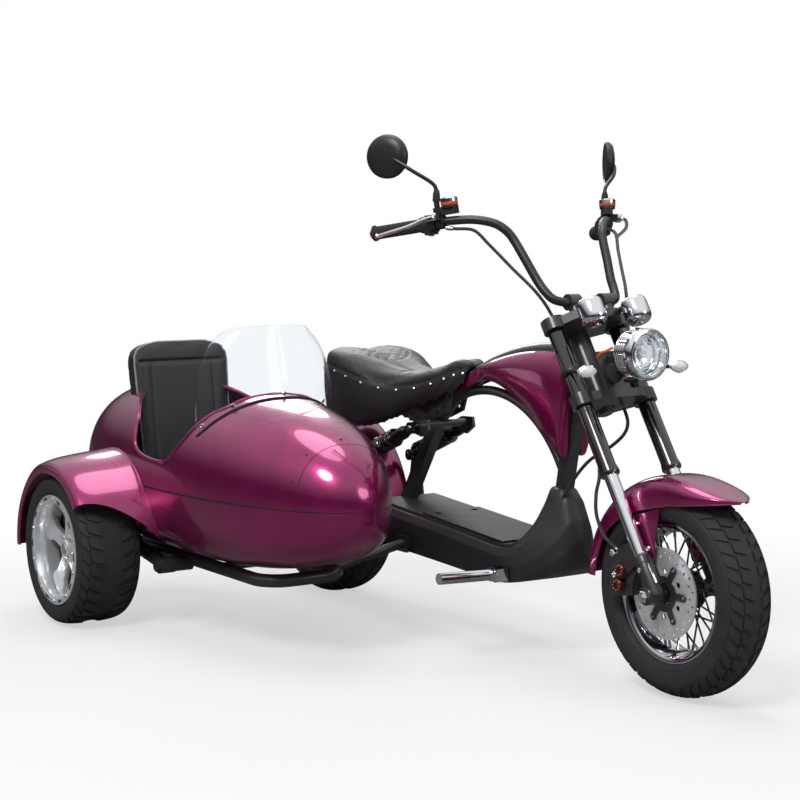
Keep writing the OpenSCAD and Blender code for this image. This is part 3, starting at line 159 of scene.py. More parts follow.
def finish(name, tone, metallic=0.0, roughness=0.5, grain_mm=0.0, grain=0.0, cells=False, spread=0.08,
           spread_mm=60.0, wear=0.1, **shader):
    """A material: `tone` varied by broad noise of `spread_mm`, with bumps `grain_mm` across."""
    material = bpy.data.materials.new(name)
    material.use_nodes = True
    tree = material.node_tree
    tree.nodes.clear()
    where = add_node(tree, "ShaderNodeTexCoord").outputs["Object"]
    broad = add_node(tree, "ShaderNodeTexNoise", {"Vector": where, "Scale": 1000 / spread_mm, "Detail": 3.0})
    base = linear(tone)
    ramp = add_node(tree, "ShaderNodeValToRGB", {"Fac": broad.outputs["Fac"]})
    ramp.color_ramp.elements[0].position, ramp.color_ramp.elements[1].position = 0.3, 0.7
    ramp.color_ramp.elements[0].color = [c * (1 - spread) for c in base[:3]] + [1]
    ramp.color_ramp.elements[1].color = [min(1, c * (1 + spread)) for c in base[:3]] + [1]
    rough = add_node(tree, "ShaderNodeMapRange", {
        "Value": broad.outputs["Fac"], "From Min": 0.25, "From Max": 0.75,
        "To Min": roughness * (1 - wear), "To Max": roughness * (1 + wear)})
    surface = add_node(tree, "ShaderNodeBsdfPrincipled", {
        "Base Color": ramp.outputs["Color"], "Metallic": metallic, "Roughness": rough.outputs["Result"]})
    for key, value in shader.items():
        surface.inputs[key.replace("_", " ")].default_value = value
    if grain:
        if cells:
            pattern = add_node(tree, "ShaderNodeTexVoronoi", {"Vector": where, "Scale": 1000 / grain_mm},
                               feature="DISTANCE_TO_EDGE")
            height = add_node(tree, "ShaderNodeMapRange", {
                "Value": pattern.outputs["Distance"], "From Min": 0.0, "From Max": 0.16}).outputs["Result"]
        else:
            height = add_node(tree, "ShaderNodeTexNoise", {
                "Vector": where, "Scale": 1000 / grain_mm, "Detail": 2.0}).outputs["Fac"]
        bump = add_node(tree, "ShaderNodeBump", {"Height": height, "Strength": grain, "Distance": grain_mm / 4000})
        tree.links.new(bump.outputs["Normal"], surface.inputs["Normal"])
    out = add_node(tree, "ShaderNodeOutputMaterial", {"Surface": surface.outputs["BSDF"]})
    out.name = "Output"
    return material


def make_finishes():
    """Every finish of the motorcycle, named for what the real surface is."""
    # Candy lacquer sprayed over metallic base coat: deep colour under a clear, wet-looking coat
    finish("candy_lacquer", colour("paint"), metallic=0.7, roughness=0.26, grain_mm=1.4, grain=0.06, spread=0.1,
           Coat_Weight=1.0, Coat_Roughness=0.02)
    # Powder-coated steel: half gloss with a faint orange peel
    finish("powder_coat", colour("frame_black"), roughness=0.4, grain_mm=2.2, grain=0.12, Coat_Weight=0.4,
           Coat_Roughness=0.12)
    # Moulded ABS: fine spark-eroded texture that dulls its shine
    finish("moulded_abs", colour("plastic"), roughness=0.46, grain_mm=0.9, grain=0.3, spread=0.12)
    # Calf leather, tanned and pigmented: pebbled grain about 2 mm across, drawn a little coarse to show
    finish("leather", colour("leather"), roughness=0.42, grain_mm=2.4, grain=0.55, cells=True, spread=0.16, wear=0.2,
           Coat_Weight=0.12, Coat_Roughness=0.35)
    # Vinyl welt and waxed thread: even, slightly glossy
    finish("welt", colour("piping"), roughness=0.5, grain_mm=1.0, grain=0.2)
    # Natural rubber: matt, with a faint mould grain
    finish("rubber", "#1c1c1e", roughness=0.66, grain_mm=1.2, grain=0.25, spread=0.15)
    # Tyre compound: grey-black and dusty, duller on broad patches
    finish("tyre_rubber", colour("tyre"), roughness=0.74, grain_mm=1.6, grain=0.3, spread=0.2, spread_mm=35, wear=0.12)
    # Chrome plate on polished steel: mirror with a trace of haze
    finish("chrome_plate", "#dfe1e4", metallic=1.0, roughness=0.07, spread=0.03, wear=0.4)
    # Die-cast aluminium, polished and lacquered: bright with soft reflections
    finish("cast_aluminium", "#e2e4e6", metallic=0.6, roughness=0.2, grain_mm=3.0, grain=0.05, spread=0.05, wear=0.25)
    # Ground stainless steel: fine scratches give it a satin look
    finish("ground_steel", "#d4d6d8", metallic=0.55, roughness=0.3, grain_mm=0.8, grain=0.2, spread=0.06)
    # Clear polycarbonate: thin, hard and glossy
    finish("polycarbonate", "#f3f7f9", roughness=0.02, spread=0.01, Transmission_Weight=1.0, IOR=1.2,
           Specular_IOR_Level=0.2)
    # Pressed lamp glass
    finish("lamp_glass", "#f7fafb", roughness=0.02, spread=0.01, Transmission_Weight=1.0, IOR=1.5)
    # Dyed acrylic lens
    finish("red_lens", "#a3141a", roughness=0.12, Coat_Weight=0.8, Coat_Roughness=0.05)
    # Silvered glass
    finish("silvered_glass", "#d5dade", metallic=1.0, roughness=0.02, spread=0.01)
    # Printed dial card
    finish("dial_card", "#ece9df", roughness=0.55, spread=0.02)
    # Anodised aluminium caliper pistons, red-brown
    finish("red_anodise", "#6e2a20", metallic=0.7, roughness=0.35, grain_mm=1.0, grain=0.08)
    # PVC-insulated wire
    finish("orange_pvc", "#d2581c", roughness=0.42, spread=0.05)
    # Gloss stove enamel on the fork tubes and shocks: deep black, sharp highlights
    finish("gloss_black", "#0e0e10", roughness=0.12, spread=0.05, Coat_Weight=0.8, Coat_Roughness=0.03)
    # Satin anodised and painted fittings: dark grey, soft sheen
    finish("satin_black", "#1d1e20", roughness=0.4, grain_mm=1.4, grain=0.1)
    # Woven nylon braid over the hoses: black and white flecks about 2 mm apart
    finish("braid", "#3c3c3e", roughness=0.6, grain_mm=2.0, grain=0.6, cells=True, spread=0.9, spread_mm=3.0)
    # Amber sight glass
    finish("amber_glass", "#c2561f", roughness=0.1, spread=0.05, Coat_Weight=0.6, Coat_Roughness=0.05)
    # Frosted acrylic over a reflector
    finish("frosted_lens", "#dcdddd", roughness=0.18, grain_mm=3.0, grain=0.4, cells=True, spread=0.1, Coat_Weight=1.0,
           Coat_Roughness=0.03)
    # Bulb glass, white inside
    finish("white_bulb", "#f3f1ea", roughness=0.15, spread=0.02)
    # Painted steel battery case
    finish("battery_paint", "#27435a", roughness=0.4, grain_mm=1.8, grain=0.15)


# ---------- shapes, in millimetres ----------


def mix(a, b, t):
    return a + (b - a) * t


def power(value, e):
    return (1 if value >= 0 else -1) * abs(value) ** e


def smooth(points, steps):
    """A curve through every point, with `steps` pieces in each span."""
    p = [Vector(q) for q in points]
    out = []
    for i in range(len(p) - 1):
        a, b, c, d = p[max(i - 1, 0)], p[i], p[i + 1], p[min(i + 2, len(p) - 1)]
        for k in range(steps):
            t = k / steps
            out.append(0.5 * (2 * b + (c - a) * t + (2 * a - 5 * b + 4 * c - d) * t * t + (3 * b - a - 3 * c + d) * t**3))
    return out + [p[-1]]


def along_curve(points, u):
    """The point a share `u` of the way along a list of points."""
    at = min(max(u, 0), 1) * (len(points) - 1)
    i = min(int(at), len(points) - 2)
    return points[i].lerp(points[i + 1], at - i)


def aim(point, direction):
    """A placing that sends the origin to `point` and Z along `direction`."""
    return Matrix.Translation(point) @ Vector(direction).normalized().to_track_quat("Z", "Y").to_matrix().to_4x4()


def about_axle(centre, outward=-1):
    """A placing for turned parts on an axle: Z runs out along Y, to the right by default."""
    return Matrix.Translation(centre) @ Matrix.Rotation(radians(90 if outward < 0 else -90), 4, "X")


MIRRORED = Matrix.Diagonal((1, -1, 1, 1))


def join(bm, part, m=0, place=None, both=False):
    """Adds a part to a piece with finish number `m`, and with its mirror image if `both`."""
    bmesh.ops.remove_doubles(part, verts=part.verts, dist=0.01)
    for face in part.faces:
        face.material_index = m
    if place is not None:
        bmesh.ops.transform(part, matrix=place, verts=part.verts)
    bmesh.ops.recalc_face_normals(part, faces=part.faces)
    mesh = bpy.data.meshes.new("part")
    part.to_mesh(mesh)
    bm.from_mesh(mesh)
    if both:
        bmesh.ops.transform(part, matrix=MIRRORED, verts=part.verts)
        bmesh.ops.reverse_faces(part, faces=part.faces)
        part.to_mesh(mesh)
        bm.from_mesh(mesh)
    part.free()
    bpy.data.meshes.remove(mesh)
    return bm


def sheet(nu, nv, place):
    """A grid laid out by `place`, which takes two shares from 0 to 1."""
    part = bmesh.new()
    bmesh.ops.create_grid(part, x_segments=nu, y_segments=nv, size=0.5)
    for vert in part.verts:
        vert.co = place(min(max(vert.co.x + 0.5, 0), 1), min(max(vert.co.y + 0.5, 0), 1))
    bmesh.ops.remove_doubles(part, verts=part.verts, dist=0.02)
    return part


def shell(nu, nv, place, wall):
    """A curved skin: `place` takes two shares and how far the point is drawn in."""
    part = sheet(nu, nv, lambda u, v: place(u, v, 0))
    inner = sheet(nu, nv, lambda u, v: place(u, v, wall))
    mesh = bpy.data.meshes.new("inner")
    inner.to_mesh(mesh)
    part.from_mesh(mesh)
    inner.free()
    bpy.data.meshes.remove(mesh)
    bmesh.ops.bridge_loops(part, edges=[e for e in part.edges if e.is_boundary])
    return part


def turned(profile, steps=64, closed=False):
    """A part turned about Z from a profile of (radius, height) points."""
    part = bmesh.new()
    verts = [part.verts.new((r, 0, z)) for r, z in profile]
    edges = [part.edges.new(pair) for pair in zip(verts, verts[1:])]
    if closed:
        edges.append(part.edges.new((verts[-1], verts[0])))
    bmesh.ops.spin(part, geom=verts + edges, cent=(0, 0, 0), axis=(0, 0, 1), angle=2 * pi, steps=steps, use_merge=True)
    bmesh.ops.remove_doubles(part, verts=part.verts, dist=0.01)
    return part


def rod(r, low, high, ease=0.8, steps=40):
    """A round bar along Z with eased ends."""
    return turned([(0, low), (r - ease, low), (r, low + ease), (r, high - ease), (r - ease, high), (0, high)], steps)


def block(size_xyz, centre=(0, 0, 0), soften=1.5):
    """A block with softened edges."""
    part = bmesh.new()
    bmesh.ops.create_cube(part, size=1, matrix=Matrix.Translation(centre) @ Matrix.Diagonal((*size_xyz, 1)))
    bmesh.ops.bevel(part, geom=part.edges[:], offset=soften, offset_type="OFFSET", affect="EDGES", segments=2,
                    profile=0.5, material=-1)
    return part


def slab(outline, low, high, soften=1.0):
    """A plate across Y from an outline of (x, z) points."""
    part = bmesh.new()
    face = part.faces.new([part.verts.new((x, low, z)) for x, z in outline])
    raised = bmesh.ops.extrude_face_region(part, geom=[face])["geom"]
    bmesh.ops.translate(part, vec=(0, high - low, 0), verts=[v for v in raised if isinstance(v, bmesh.types.BMVert)])
    if soften:
        flat = [e for e in part.edges if abs(e.verts[0].co.y - e.verts[1].co.y) < 1e-3]
        bmesh.ops.bevel(part, geom=flat, offset=soften, offset_type="OFFSET", affect="EDGES", segments=2, profile=0.5,
                        material=-1)
    return part


def tube(points, r, closed=False, fine=3):
    """A round bar or hose that follows a line of points."""
    data = bpy.data.curves.new("line", "CURVE")
    data.dimensions = "3D"
    data.bevel_depth, data.bevel_resolution, data.use_fill_caps = r, fine, True
    spline = data.splines.new("POLY")
    spline.points.add(len(points) - 1)
    for mark, point in zip(spline.points, points):
        mark.co = (*point, 1)
    spline.use_cyclic_u = closed
    line = bpy.data.objects.new("line", data)
    mesh = bpy.data.meshes.new_from_object(line)
    part = bmesh.new()
    part.from_mesh(mesh)
    bpy.data.objects.remove(line)
    bpy.data.curves.remove(data)
    bpy.data.meshes.remove(mesh)
    return part


def bolt(bm, point, direction, r, h, m=0, both=False):
    """A round bolt head with a socket."""
    head = turned([(0, h * 0.35), (r * 0.45, h * 0.35), (r * 0.5, h), (r * 0.82, h), (r, h * 0.7), (r, -h * 0.3),
                   (0, -h * 0.3)], 16)
    join(bm, head, m, aim(point, direction), both)


def helix(r, low, high, turns, steps=20):
    """A spring's centre line about Z."""
    count = int(turns * steps)
    return [Vector((r * cos(2 * pi * turns * i / count), r * sin(2 * pi * turns * i / count),
                    mix(low, high, i / count)))
            for i in range(count + 1)]


def set_mesh(bm, name):
    mesh = bpy.data.meshes.new(name)
    bm.to_mesh(mesh)
    bm.free()
    return mesh


def make_piece(bm, name, body, finishes, replaces=(), crease=32):
    """Turns a bmesh in millimetres into a finished piece of the frame."""
    bmesh.ops.transform(bm, matrix=TO_FRAME, verts=bm.verts)
    mesh = set_mesh(bm, name)
    for item in finishes.split():
        mesh.materials.append(bpy.data.materials[item])
    mesh.shade_smooth()
    mesh.set_sharp_from_angle(angle=radians(crease))
    piece = bpy.data.objects.new(name, mesh)
    bpy.context.scene.collection.objects.link(piece)
    if body:
        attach(piece, body)
    if replaces:
        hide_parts(*replaces.split())
    return piece


def applied(piece):
    """Replaces a piece's mesh by what its modifiers make of it."""
    bpy.context.view_layer.update()
    old = piece.data
    seen = piece.evaluated_get(bpy.context.evaluated_depsgraph_get())
    piece.data = bpy.data.meshes.new_from_object(seen)
    piece.data.name = old.name
    piece.modifiers.clear()
    bpy.data.meshes.remove(old)


def cut_away(piece, cutter, crease=32):
    """Cuts the shape of a bmesh, in millimetres, out of a piece."""
    bmesh.ops.recalc_face_normals(cutter, faces=cutter.faces)
    bmesh.ops.transform(cutter, matrix=TO_FRAME, verts=cutter.verts)
    tool = bpy.data.objects.new("cutter", set_mesh(cutter, "cutter"))
    bpy.context.scene.collection.objects.link(tool)
    change = piece.modifiers.new("cut", "BOOLEAN")
    change.operation, change.solver, change.object = "DIFFERENCE", "EXACT", tool
    applied(piece)
    piece.data.shade_smooth()
    piece.data.set_sharp_from_angle(angle=radians(crease))
    bpy.data.objects.remove(tool)


def stuffed(piece, voxel=6.0, pressure=4.0, cap=12.0, shape=None):
    """Swells a cushion: voxel mesh, cloth under pressure, then its sewn channels and one subdivision."""
    change = piece.modifiers.new("voxels", "REMESH")
    change.mode, change.voxel_size = "VOXEL", voxel / 1000
    applied(piece)
    rest = [v.co.copy() for v in piece.data.vertices]
    lowest = min(v.z for v in rest)
    cloth = piece.modifiers.new("stuffing", "CLOTH")
    cloth.settings.use_pressure = True
    cloth.settings.uniform_pressure_force = pressure
    cloth.settings.effector_weights.gravity = 0
    scene = bpy.context.scene
    for step in range(1, 21):
        scene.frame_set(step)
    seen = piece.evaluated_get(bpy.context.evaluated_depsgraph_get())
    swollen = [v.co.copy() for v in seen.data.vertices]
    piece.modifiers.clear()
    scene.frame_set(1)
    for vert, old, new in zip(piece.data.vertices, rest, swollen):
        step = new - old
        if step.length > cap / 1000:
            step *= cap / 1000 / step.length
        vert.co = old + step
        vert.co.z = max(vert.co.z, lowest)
    if shape:
        for vert in piece.data.vertices:
            vert.co = TO_FRAME @ shape(FROM_FRAME @ vert.co)
    soft = piece.modifiers.new("soft", "SUBSURF")
    soft.levels = soft.render_levels = 1
    applied(piece)
    piece.data.shade_smooth()


# ---------- stage ----------


class SIDECAR_OT_stage(bpy.types.Operator):
    """Floor, soft lights, white surroundings and the camera"""

    bl_idname = "sidecar.stage"
    bl_label = "Stage"

    def execute(self, context):
        scene = context.scene
        scene.view_settings.view_transform = "Standard"
        camera_data = bpy.data.cameras.new("camera")
        camera_data.lens, camera_data.clip_end = 82.3, 100
        camera = bpy.data.objects.new("camera", camera_data)
        camera.location = (3.8897, -2.5560, 1.0587)
        camera.rotation_euler = (radians(90 - 5.23), 0, radians(56.4))
        scene.collection.objects.link(camera)
        scene.camera = camera

        lamps = (("key", (2.2, -3.0, 4.4), 1.8, 150), ("fill", (4.6, 2.2, 2.4), 2.0, 40),
                 ("top", (-0.6, 0.4, 4.8), 3.0, 80),
                 ("back", (-3.8, 1.8, 2.8), 2.0, 50))
        for name, place, width, watts in lamps:
            light = bpy.data.lights.new(name, "AREA")
            light.shape, light.size, light.energy = "DISK", width, watts
            lamp = bpy.data.objects.new(name, light)
            lamp.location = place
            lamp.rotation_euler = (Vector((0, 0, 0.4)) - Vector(place)).to_track_quat("-Z", "Y").to_euler()
            scene.collection.objects.link(lamp)

        # White to the camera and in reflections, with a greyer band near the horizon for contrast in chrome
        world = bpy.data.worlds.new("studio")
        scene.world = world
        world.use_nodes = True
        tree = world.node_tree
        tree.nodes.clear()
        ray = add_node(tree, "ShaderNodeLightPath")
        height = add_node(tree, "ShaderNodeSeparateXYZ",
                          {"Vector": add_node(tree, "ShaderNodeTexCoord").outputs["Generated"]})
        band = add_node(tree, "ShaderNodeValToRGB", {"Fac": height.outputs["Z"]})
        band.color_ramp.elements[0].position, band.color_ramp.elements[1].position = 0.12, 0.62
        band.color_ramp.elements[0].color, band.color_ramp.elements[1].color = (0.035, 0.035, 0.04, 1), (0.95, 0.95,
                0.95, 1)
        seen = add_node(tree, "ShaderNodeMath",
                        {0: ray.outputs["Is Camera Ray"], 1: ray.outputs["Is Transmission Ray"]},
                        operation="MAXIMUM")
        ambient = add_node(tree, "ShaderNodeBackground", {"Color": (1, 1, 1, 1), "Strength": 0.28})
        mirrored = add_node(tree, "ShaderNodeBackground", {"Color": band.outputs["Color"], "Strength": 1.0})
        white = add_node(tree, "ShaderNodeBackground", {"Color": (1, 1, 1, 1), "Strength": 1.0})
        first = add_node(tree, "ShaderNodeMixShader", {0: ray.outputs["Is Glossy Ray"], 1: ambient.outputs[0],
                2: mirrored.outputs[0]})
        second = add_node(tree, "ShaderNodeMixShader", {0: seen.outputs[0], 1: first.outputs[0], 2: white.outputs[0]})
        add_node(tree, "ShaderNodeOutputWorld", {"Surface": second.outputs[0]})

        # Pale seamless floor that keeps a soft shadow
        bm = bmesh.new()
        bmesh.ops.create_grid(bm, x_segments=1, y_segments=1, size=12)
        floor = bpy.data.objects.new("floor", set_mesh(bm, "floor"))
        scene.collection.objects.link(floor)
        paper = bpy.data.materials.new("seamless_paper")
        paper.use_nodes = True
        tree = paper.node_tree
        tree.nodes.clear()
        # Matt paper near the motorcycle, pure white to the camera further out; dim in reflections
        ray = add_node(tree, "ShaderNodeLightPath")
        where = add_node(tree, "ShaderNodeTexCoord").outputs["Object"]
        reach = add_node(tree, "ShaderNodeVectorMath", {0: where}, operation="LENGTH")
        far = add_node(tree, "ShaderNodeMapRange", {"Value": reach.outputs["Value"], "From Min": 1.1, "From Max": 2.3,
                                                    "To Min": 0.58, "To Max": 1.0}, interpolation_type="SMOOTHSTEP")
        matt = add_node(tree, "ShaderNodeBsdfDiffuse", {"Color": (0.8, 0.8, 0.8, 1)})
        white = add_node(tree, "ShaderNodeEmission", {"Color": (1, 1, 1, 1), "Strength": 1.0})
        dark = add_node(tree, "ShaderNodeBsdfDiffuse", {"Color": (0.2, 0.2, 0.2, 1)})
        lit = add_node(tree, "ShaderNodeMixShader", {0: far.outputs["Result"], 1: matt.outputs[0],
                2: white.outputs[0]})
        plain = add_node(tree, "ShaderNodeMixShader", {0: ray.outputs["Is Glossy Ray"], 1: matt.outputs[0],
                2: dark.outputs[0]})
        seen = add_node(tree, "ShaderNodeMath",
                        {0: ray.outputs["Is Camera Ray"], 1: ray.outputs["Is Transmission Ray"]},
                        operation="MAXIMUM")
        shown = add_node(tree, "ShaderNodeMixShader", {0: seen.outputs[0], 1: plain.outputs[0], 2: lit.outputs[0]})
        add_node(tree, "ShaderNodeOutputMaterial", {"Surface": shown.outputs[0]})
        floor.data.materials.append(paper)
        return {"FINISHED"}


class SIDECAR_OT_finishes(bpy.types.Operator):
    """Materials, and the finish of every part of the frame that shows as it is"""

    bl_idname = "sidecar.finishes"
    bl_label = "Finishes"

    KEPT = {
        "powder_coat": "main_frame saddle_bracket swingarm rear_caliper rear_rim sidecar_chassis sidecar_swingarm"
                       " fork_clamps front_caliper",
        "moulded_abs": "battery_lid switch_gear",
        "battery_paint": "battery_block",
        "chrome_plate": "foot_pegs",
        "ground_steel": "rear_disc front_disc",
    }

    def execute(self, context):
        make_finishes()
        for item, names in self.KEPT.items():
            for name in names.split():
                slots = frame["nodes"][name].data.materials
                slots.clear()
                slots.append(bpy.data.materials[item])
        return {"FINISHED"}


# ---------- sidecar body ----------

TUB_MID_X, TUB_NOSE_X, TUB_TAIL_X, TUB_W, SEAM_Z, TUB_RISE, TUB_DROP, TUB_WALL = 250, 915, -355, 248, 388, 264, 197, 5
NOSE_ROUND, TAIL_ROUND, TOP_NOSE_ROUND, TOP_TAIL_ROUND, FLOOR_ALONG_ROUND = 2.1, 3.7, 2.2, 3.8, 2.6
ACROSS_ROUND, FLOOR_ROUND, NOSE_SEAM = 2.3, 2.8, 57
COCKPIT = smooth([(-104, 0, 780), (-94, 0, 642), (-24, 0, 612), (60, 0, 570), (102, 0, 522), (128, 0, 488),
                  (190, 0, 468), (290, 0, 462), (335, 0, 478), (375, 0, 522), (424, 0, 590), (466, 0, 632),
                  (492, 0, 780)], 8)


def fall(s, e):
    return max(0, 1 - min(s, 1) ** e) ** (1 / e)


def tub_share(x, t=0):
    if x > TUB_MID_X:
        return (x - TUB_MID_X) / (TUB_NOSE_X - t - TUB_MID_X)
    return (TUB_MID_X - x) / (TUB_MID_X - TUB_TAIL_X - t)


def tub_half(x, t=0):
    return (TUB_W - t) * fall(tub_share(x, t), NOSE_ROUND if x > TUB_MID_X else TAIL_ROUND)


def tub_high(x, t=0):
    return (TUB_RISE - t) * fall(tub_share(x, t), TOP_NOSE_ROUND if x > TUB_MID_X else TOP_TAIL_ROUND)


def tub_deep(x, t=0):
    return (TUB_DROP - t) * fall(tub_share(x, t), FLOOR_ALONG_ROUND)


def tub_top(x, y):
    """Height of the body's outer face at x, and y from its own middle."""
    return SEAM_Z + tub_high(x) * fall(abs(y) / max(tub_half(x), 1), ACROSS_ROUND)


def tub_flank(x, z):
    """Half width of the body at a height."""
    if z > SEAM_Z:
        return tub_half(x) * fall((z - SEAM_Z) / max(tub_high(x), 1), ACROSS_ROUND)
    return tub_half(x) * fall((SEAM_Z - z) / max(tub_deep(x), 1), FLOOR_ROUND)


def tub_point(along, turn, t):
    """A point of the body: `along` from -90 at the tail to 90 at the nose, `turn` round it in degrees."""
    a, b = radians(along), radians(turn)
    e = NOSE_ROUND if along > 0 else TAIL_ROUND
    s = abs(sin(a)) ** (2 / e)
    x = TUB_MID_X + (TUB_NOSE_X - t - TUB_MID_X if along > 0 else TUB_TAIL_X + t - TUB_MID_X) * s
    w = (TUB_W - t) * abs(cos(a)) ** (2 / e)
    upper = turn <= 180
    h = tub_high(x, t) if upper else tub_deep(x, t)
    c = 2 / (ACROSS_ROUND if upper else FLOOR_ROUND)
    return Vector((x, TUB_Y + w * power(cos(b), c), SEAM_Z + h * power(sin(b), c)))


def tub_shell(from_along, to_along, from_turn, to_turn, nu, nv, start=0.0, wall=TUB_WALL):
    return shell(nu, nv, lambda u, v, t: tub_point(mix(from_along, to_along, u), mix(from_turn, to_turn, v),
            t + start),
                 wall)


def cockpit_edge():
    """The closed line where the cockpit's opening meets the body."""
    inside = [p for p in COCKPIT if p.z < tub_top(p.x, 0)]
    left = [Vector((p.x, TUB_Y + tub_flank(p.x, p.z), p.z)) for p in inside]
    right = [Vector((p.x, TUB_Y - tub_flank(p.x, p.z), p.z)) for p in reversed(inside)]
    front, rear = inside[-1], inside[0]
    nose = Vector((front.x + 4, TUB_Y, tub_top(front.x + 4, 0)))
    tail = Vector((rear.x - 2, TUB_Y, tub_top(rear.x - 2, 0)))
    return smooth(left + [nose] + right + [tail], 2) + smooth([tail, left[0]], 3)[1:-1]


class SIDECAR_OT_body(bpy.types.Operator):
    """Upper and lower shells of the sidecar's body, its nose and the cockpit's hem"""

    bl_idname = "sidecar.body"
    bl_label = "Sidecar body"

    def execute(self, context):
        bm = join(bmesh.new(), tub_shell(-90, NOSE_SEAM - 0.12, 0.18, 179.82, 84, 56))
        upper = make_piece(bm, "body_upper", "chassis", "candy_lacquer", "sidecar_body_upper")
        outline = [(p.x, p.z) for p in COCKPIT]
        cut_away(upper, slab(outline, TUB_Y - 400, TUB_Y + 400, 0))
        bm = join(bmesh.new(), tub_shell(NOSE_SEAM + 0.12, 90, 0.18, 179.82, 20, 56))
        make_piece(bm, "body_nose", "chassis", "candy_lacquer", "sidecar_nose")
        bm = join(bmesh.new(), tub_shell(-90, 90, 180.18, 359.82, 110, 44))
        make_piece(bm, "body_lower", "chassis", "candy_lacquer", "sidecar_body_lower")

        # Dark gasket behind the seams, painted hem round the cockpit and screws on the nose
        bm = bmesh.new()
        join(bm, tub_shell(-90, 90, -1.2, 1.2, 100, 2, 1.2, 2.5))
        join(bm, tub_shell(-90, 90, 178.8, 180, 100, 2, 1.2, 2.5))
        join(bm, tub_shell(-90, 90, 180.01, 181.2, 100, 2, 1.2, 2.5))
        join(bm, tub_shell(NOSE_SEAM - 1.2, NOSE_SEAM + 1.4, 1, 179, 2, 50, 1.2, 2.5))
        make_piece(bm, "body_gasket", "chassis", "rubber")
        bm = join(bmesh.new(), tube(cockpit_edge(), size("hem_r"), closed=True))
        make_piece(bm, "body_hem", "chassis", "candy_lacquer")
        bm = bmesh.new()
        for turn in (22, 52, 90, 128, 158):
            here = tub_point(NOSE_SEAM - 2.6, turn, 0)
            out = (here - tub_point(NOSE_SEAM - 2.6, turn, 6)).normalized()
            bolt(bm, here, out, 3.6, 1.4)
        make_piece(bm, "body_screws", "chassis", "satin_black")
        return {"FINISHED"}


class SIDECAR_OT_windscreen(bpy.types.Operator):
    """Clear bowed windscreen with its foot strip and screws"""

    bl_idname = "sidecar.windscreen"
    bl_label = "Windscreen"

    def execute(self, context):
        bow, foot_w, top_w = radians(62), 205, 133

        def screen(u, v, t):
            a = mix(-bow, bow, v)
            w = mix(foot_w, top_w, u**3.4) / sin(bow)
            x = mix(428, 408, u) + mix(92, 70, u) * (cos(a) - cos(bow)) / (1 - cos(bow)) + (3 - t) * cos(a)
            y = (w + 3 - t) * sin(a)
            corner = 12 * max(0, abs(a) / bow - 0.7) ** 2 / 0.09
            return Vector((x, TUB_Y + y, mix(tub_top(x, y) + 0.8, 820 - 17 * (a / bow) ** 4 - corner, u)))

        bm = join(bmesh.new(), shell(28, 48, screen, 3))
        make_piece(bm, "screen", "chassis", "polycarbonate", "windscreen", crease=50)
        bm = bmesh.new()
        join(bm, tube([screen(0.004, i / 48, 0) for i in range(49)], 3.2))
        for v in (0.04, 0.22, 0.5, 0.78, 0.96):
            here = screen(0.055, v, 0)
            a = mix(-bow, bow, v)
            bolt(bm, here, (cos(a), sin(a), 0.05), 6, 3, 1)
        make_piece(bm, "screen_foot", "chassis", "rubber chrome_plate")
        return {"FINISHED"}


class SIDECAR_OT_wing(bpy.types.Operator):
    """Wing over the sidecar wheel, with its double bead and lip"""

    bl_idname = "sidecar.wing"
    bl_label = "Sidecar wing"

    def execute(self, context):
        profile = smooth([(0, 212, 0), (0, 226, 0), (0.05, 238, 0), (0.22, 248, 0), (0.5, 256, 0), (0.8, 262, 0),
                          (1, 267, 0)], 6)
        lip_y = -812 - 95

        def wing(u, v, t):
            q = along_curve(profile, v)
            a = radians(mix(38 - 27 * q.x * q.x, 184, u))
            r = q.y - t
            x, z = SIDE.x + r * cos(a), SIDE.z + r * sin(a)
            inner = TUB_Y - max(tub_flank(x, z), 236) - 0.3
            return Vector((x, wing_y(q.x, inner, t), z))

        def wing_y(share, inner, t):
            return mix(lip_y + t, inner, share)

        bm = join(bmesh.new(), shell(72, 30, wing, 3))
        make_piece(bm, "wing", "chassis", "candy_lacquer", "sidecar_fender")
        bm = bmesh.new()
        for v in (0.155, 0.31):
            join(bm, tube([wing(0.01 + 0.98 * i / 60, v, 0.2) for i in range(61)], 1.5, fine=2))
        join(bm, tube([wing(i / 60, 0, 1.5) for i in range(61)], 2.6, fine=2))
        make_piece(bm, "wing_beads", "chassis", "candy_lacquer")
        return {"FINISHED"}


# ---------- motorcycle bodywork ----------

PANEL_TOP = smooth([(655, 0, 640), (700, 0, 680), (745, 0, 707), (800, 0, 724), (856, 0, 740), (930, 0, 756),
                    (1010, 0, 766), (1070, 0, 769), (1112, 0, 764), (1136, 0, 736), (1140, 0, 672), (1130, 0, 590),
                    (1122, 0, 520)], 6)
PANEL_LOW = smooth([(653, 0, 632), (690, 0, 650), (740, 0, 668), (800, 0, 680), (866, 0, 672), (930, 0, 648),
                    (985, 0, 620), (1024, 0, 592), (1052, 0, 568), (1078, 0, 548), (1096, 0, 532), (1108, 0, 520),
                    (1118, 0, 512)], 6)
PANEL_IN_Y, PANEL_SWELL = 21.3, 42


class SIDECAR_OT_tank(bpy.types.Operator):
    """Two swelling side panels over the backbone"""

    bl_idname = "sidecar.tank"
    bl_label = "Side panels"

    def execute(self, context):
        def panel(u, v, t):
            p = along_curve(PANEL_LOW, u).lerp(along_curve(PANEL_TOP, u), v)
            along = max(0, sin(pi * 0.97 * max(0, u - 0.2) / 0.8)) ** 0.5
            up = max(0, sin(pi * mix(0.08, 0.96, v**1.2))) ** 0.5
            return Vector((p.x, PANEL_IN_Y + (0 if t else 3 + PANEL_SWELL * along * up), p.z))

        bm = join(bmesh.new(), shell(96, 32, panel, 1), both=True)
        make_piece(bm, "side_panels", "chassis", "candy_lacquer", "tank_panels", crease=42)
        return {"FINISHED"}


